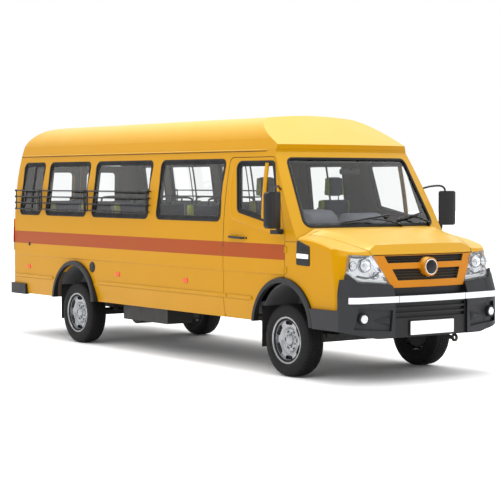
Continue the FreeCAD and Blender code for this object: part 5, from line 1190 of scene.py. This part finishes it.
def bench_frame(piece, shell, x, side):
    """Steel tube frame, foot and pan of one bench, with a shell behind its back and a grab bar over it."""
    near, far, pan = side * 0.275, side * 0.870, 1.026
    for at in (x + 0.06, x + 0.36):
        tube(piece, smooth_path([(at, near, FLOOR), (at, near, 0.86), (at, near, 0.98),
                                 (at, near + side * 0.04, pan), (at, far, pan)], 4), 0.014, 10)
    foot = FLOOR + 0.012
    tube(piece, [(x + 0.02, near, foot), (x + 0.40, near, foot)], 0.012, 10)
    low, high = sorted((side * 0.250, side * 0.860))
    block(piece, (x + 0.01, low, pan - 0.010), (x + 0.41, high, pan + 0.010))
    block(shell, (x - 0.090, low, 1.05), (x - 0.074, high, 1.645))
    block(shell, (x - 0.0745, low + 0.03, 1.03), (x - 0.002, high - 0.03, 1.060))
    bar = [(x - back, side * across, level) for back, across, level in
           ((0.074, 0.275, 1.58), (0.060, 0.275, 1.655), (0.060, 0.300, 1.690), (0.060, 0.40, 1.700),
            (0.060, 0.54, 1.690), (0.060, 0.565, 1.655), (0.074, 0.565, 1.58))]
    tube(piece, smooth_path(bar, 3), 0.011, 10)


def make_benches():
    """Nine benches: five on the right side and, behind the entry, four on the left."""
    fabric = make_fabric("bench_fabric", 0.235)
    seams = ((1, 0.0), (1, 0.235), (1, -0.235))
    seat = pad_form((0.425, 0.635, 0.112), 0.019, 0.014, seams + ((0, 0.10),))
    rest = pad_form((0.080, 0.635, 0.600), 0.019, 0.014, seams + ((2, 0.17),), 0.03)
    frames, shells = Piece("bench_frames", BAR_BLACK), Piece("bench_shells", INSIDE)
    pads = []
    for side, name in SIDES:
        for row in range(0 if side == RIGHT else 1, 5):
            x, middle = BENCH_FIRST - BENCH_PITCH * row, side * BENCH_MIDDLE
            bench_frame(frames, shells, x, side)
            pads += [put_pad(seat, "bench_seat_%s_%d" % (name, row), (x + 0.215, middle, 1.088), fabric),
                     put_pad(rest, "bench_back_%s_%d" % (name, row), (x - 0.038, middle, 1.350), fabric)]
    for piece in pads + [frames.make(), shells.make()]:
        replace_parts(piece, "passenger_seats")


def make_cab_seats():
    """Two seats with headrests, on a box each, with a lever on the aisle side."""
    fabric, head_fabric = make_fabric("cab_fabric", 0.160), make_fabric("head_fabric", 0.085)
    seams = ((1, 0.160), (1, -0.160))
    seat = pad_form((0.475, 0.485, 0.135), 0.015, 0.014, seams + ((0, 0.08),))
    rest = pad_form((0.105, 0.465, 0.745), 0.015, 0.014, seams + ((2, 0.20), (2, -0.10)), 0.14)
    head = pad_form((0.085, 0.245, 0.205), 0.011, 0.010, ((1, 0.085), (1, -0.085)), 0.10)
    stand, parts = Piece("cab_seat_stands", INSIDE), []
    for side, name in SIDES:
        x, middle = FRONT - 0.900, side * 0.445
        parts += [put_pad(seat, "cab_seat_" + name, (x + 0.240, middle, 1.020), fabric),
                  put_pad(rest, "cab_back_" + name, (x - 0.055, middle, 1.330), fabric),
                  put_pad(head, "cab_head_" + name, (x - 0.055, middle, 1.822), head_fabric)]
        for back, front, half, low, high in ((0.05, 0.43, 0.185, FLOOR, 0.90),
                                             (0.01, 0.46, 0.225, 0.890, 0.965),
                                             (-0.112, -0.096, 0.19, 0.960, 1.600)):
            block(stand, (x + back, middle - half, low), (x + front, middle + half, high))
        for across in (middle - 0.06, middle + 0.06):
            tube(stand, [(x - 0.055, across, 1.66), (x - 0.055, across, 1.76)], 0.006, 8)
        aisle = middle - side * 0.245
        tube(stand, [(x + 0.14, aisle, 0.935), (x - 0.02, aisle, 0.945)], 0.012, 10)
    for piece in parts + [stand.make()]:
        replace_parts(piece, "cab_seats")


def make_dashboard():
    """Two raised hoods on the dashboard, with air vents in the face towards the seats."""
    hoods, vents = Piece("dash_hoods", DASH), Piece("dash_vents", GLOSS_BLACK)
    foot, vent_level, vent_gap = 1.430, 1.495, 0.12
    vent = [(0.0, 0.0), (0.012, 0.004), (0.030, 0.002), (0.034, 0.008), (0.040, 0.006), (0.042, -0.004),
            (0.0, -0.004)]
    for low, high, top, reach in ((-0.640, -0.190, 1.600, 0.30), (-0.100, 0.420, 1.560, 0.26)):
        middle = (low + high) / 2
        outline = rounded([(low, foot), (high, foot), (high - 0.055, top), (low + 0.055, top)],
                          [0.01, 0.01, 0.055, 0.055], 5)
        hoods.solid([(FRONT - back, middle + (point.x - middle) * (0.7 + 0.3 * share),
                      foot + (point.y - foot) * share) for point in outline]
                    for back, share in ((reach, 0.90), (reach - 0.012, 0.96), (reach - 0.05, 1.0),
                                        (0.12, 0.97), (0.05, 0.72), (0.02, 0.45)))
        for across in (middle - vent_gap, middle + vent_gap):
            lathe(vents, vent, (FRONT - reach, across, vent_level), (-1, 0, 0), 24)
    hoods.make(40.0)
    vents.make()


def make_exhaust():
    """Exhaust pipe with its silencer, hung from the left chassis rail."""
    piece, across, can_at = Piece("exhaust", IRON), 0.25, (-0.35, 0.25, 0.43)
    path = [(1.25, 0.20, 0.46)] + [(along, across, level) for along, level in
                                   ((0.60, 0.44), (0.0, 0.43), (-0.7, 0.43), (-1.15, 0.43), (-1.45, 0.52),
                                    (-1.95, 0.54), (-2.35, 0.46), (-2.9, 0.42), (-3.15, 0.41))]
    tube(piece, smooth_path(path), 0.024, 14)
    can = [(0.0, -0.25), (0.060, -0.25), (0.078, -0.238), (0.085, -0.22)]
    lathe(piece, can + [(radius, -along) for radius, along in reversed(can)], can_at, AHEAD, 28)
    for at in (-0.55, -0.15, -2.75):
        tube(piece, [(at, across, 0.46), (at, 0.30, 0.53), (at, 0.34, 0.56)], 0.008, 8)
    piece.make()


def make_stage():
    """Pale floor, white surroundings that are brighter overhead, and soft lamps round the bus."""
    half = 60.0
    mesh = bpy.data.meshes.new("stage_floor")
    mesh.from_pydata([(*corner, 0) for corner in oblong(-half, -half, half, half)], [], [(0, 1, 2, 3)])
    floor = bpy.data.objects.new("stage_floor", mesh)
    bpy.context.collection.objects.link(floor)
    paper = Nodes("stage_paper")
    paper.set(Base_Color=(0.93, 0.93, 0.93, 1.0), Roughness=0.9, Specular_IOR_Level=0.2)
    mesh.materials.append(paper.material)
    scene = bpy.context.scene
    scene.view_settings.view_transform = "Standard"
    scene.world = bpy.data.worlds.new("studio")
    scene.world.use_nodes = True
    nodes, links = scene.world.node_tree.nodes, scene.world.node_tree.links
    background = nodes["Background"]
    background.inputs[0].default_value = WHITE_LIGHT
    split, sky = nodes.new("ShaderNodeSeparateXYZ"), nodes.new("ShaderNodeMapRange")
    links.new(nodes.new("ShaderNodeTexCoord").outputs["Generated"], split.inputs[0])
    links.new(split.outputs[2], sky.inputs["Value"])
    for socket, value in (("From Min", 0.3), ("From Max", 1.0), ("To Min", 1.0), ("To Max", 2.0)):
        sky.inputs[socket].default_value = value
    links.new(sky.outputs["Result"], background.inputs[1])
    for name, place, reach, power in (("key", (7.0, -8.0, 8.0), 5.0, 150.0),
                                      ("fill", (-8.0, -7.0, 6.0), 7.0, 30.0),
                                      ("top", (0.0, 0.0, 10.0), 5.0, 780.0)):
        light = bpy.data.lights.new(name, "AREA")
        light.size, light.energy = reach, power
        lamp = bpy.data.objects.new(name, light)
        lamp.location = place
        lamp.rotation_euler = (Vector((0, 0, 1)) - Vector(place)).to_track_quat("-Z", "Y").to_euler()
        bpy.context.collection.objects.link(lamp)


CAMERA_PLACE, CAMERA_LENS, SENSOR = (14.340, -10.108, 1.874), 114.1, 36.0
CAMERA_AZIMUTH, CAMERA_DOWN = math.radians(54.018), math.radians(2.467)


def make_camera():
    """The photograph's viewpoint, fitted from the wheels and the body's edges, and a little wider."""
    camera = bpy.data.cameras.new("view")
    camera.sensor_width, camera.lens, camera.clip_end = SENSOR, CAMERA_LENS, 200.0
    holder = bpy.data.objects.new("view", camera)
    holder.location = CAMERA_PLACE
    azimuth, down = CAMERA_AZIMUTH, CAMERA_DOWN
    ahead = Vector((-math.sin(azimuth) * math.cos(down), math.cos(azimuth) * math.cos(down), -math.sin(down)))
    holder.rotation_euler = ahead.to_track_quat("-Z", "Y").to_euler()
    bpy.context.collection.objects.link(holder)
    bpy.context.scene.camera = holder


for make in (make_wheels, make_windows, make_back_windows, make_windscreen, make_bar_ends,
             make_side_trim, make_handles, make_headlamps, make_badge, make_fog_lamps,
             make_number_plate, make_mirrors, make_wipers, make_benches, make_cab_seats,
             make_dashboard, make_exhaust, make_stage, make_camera):
    make()
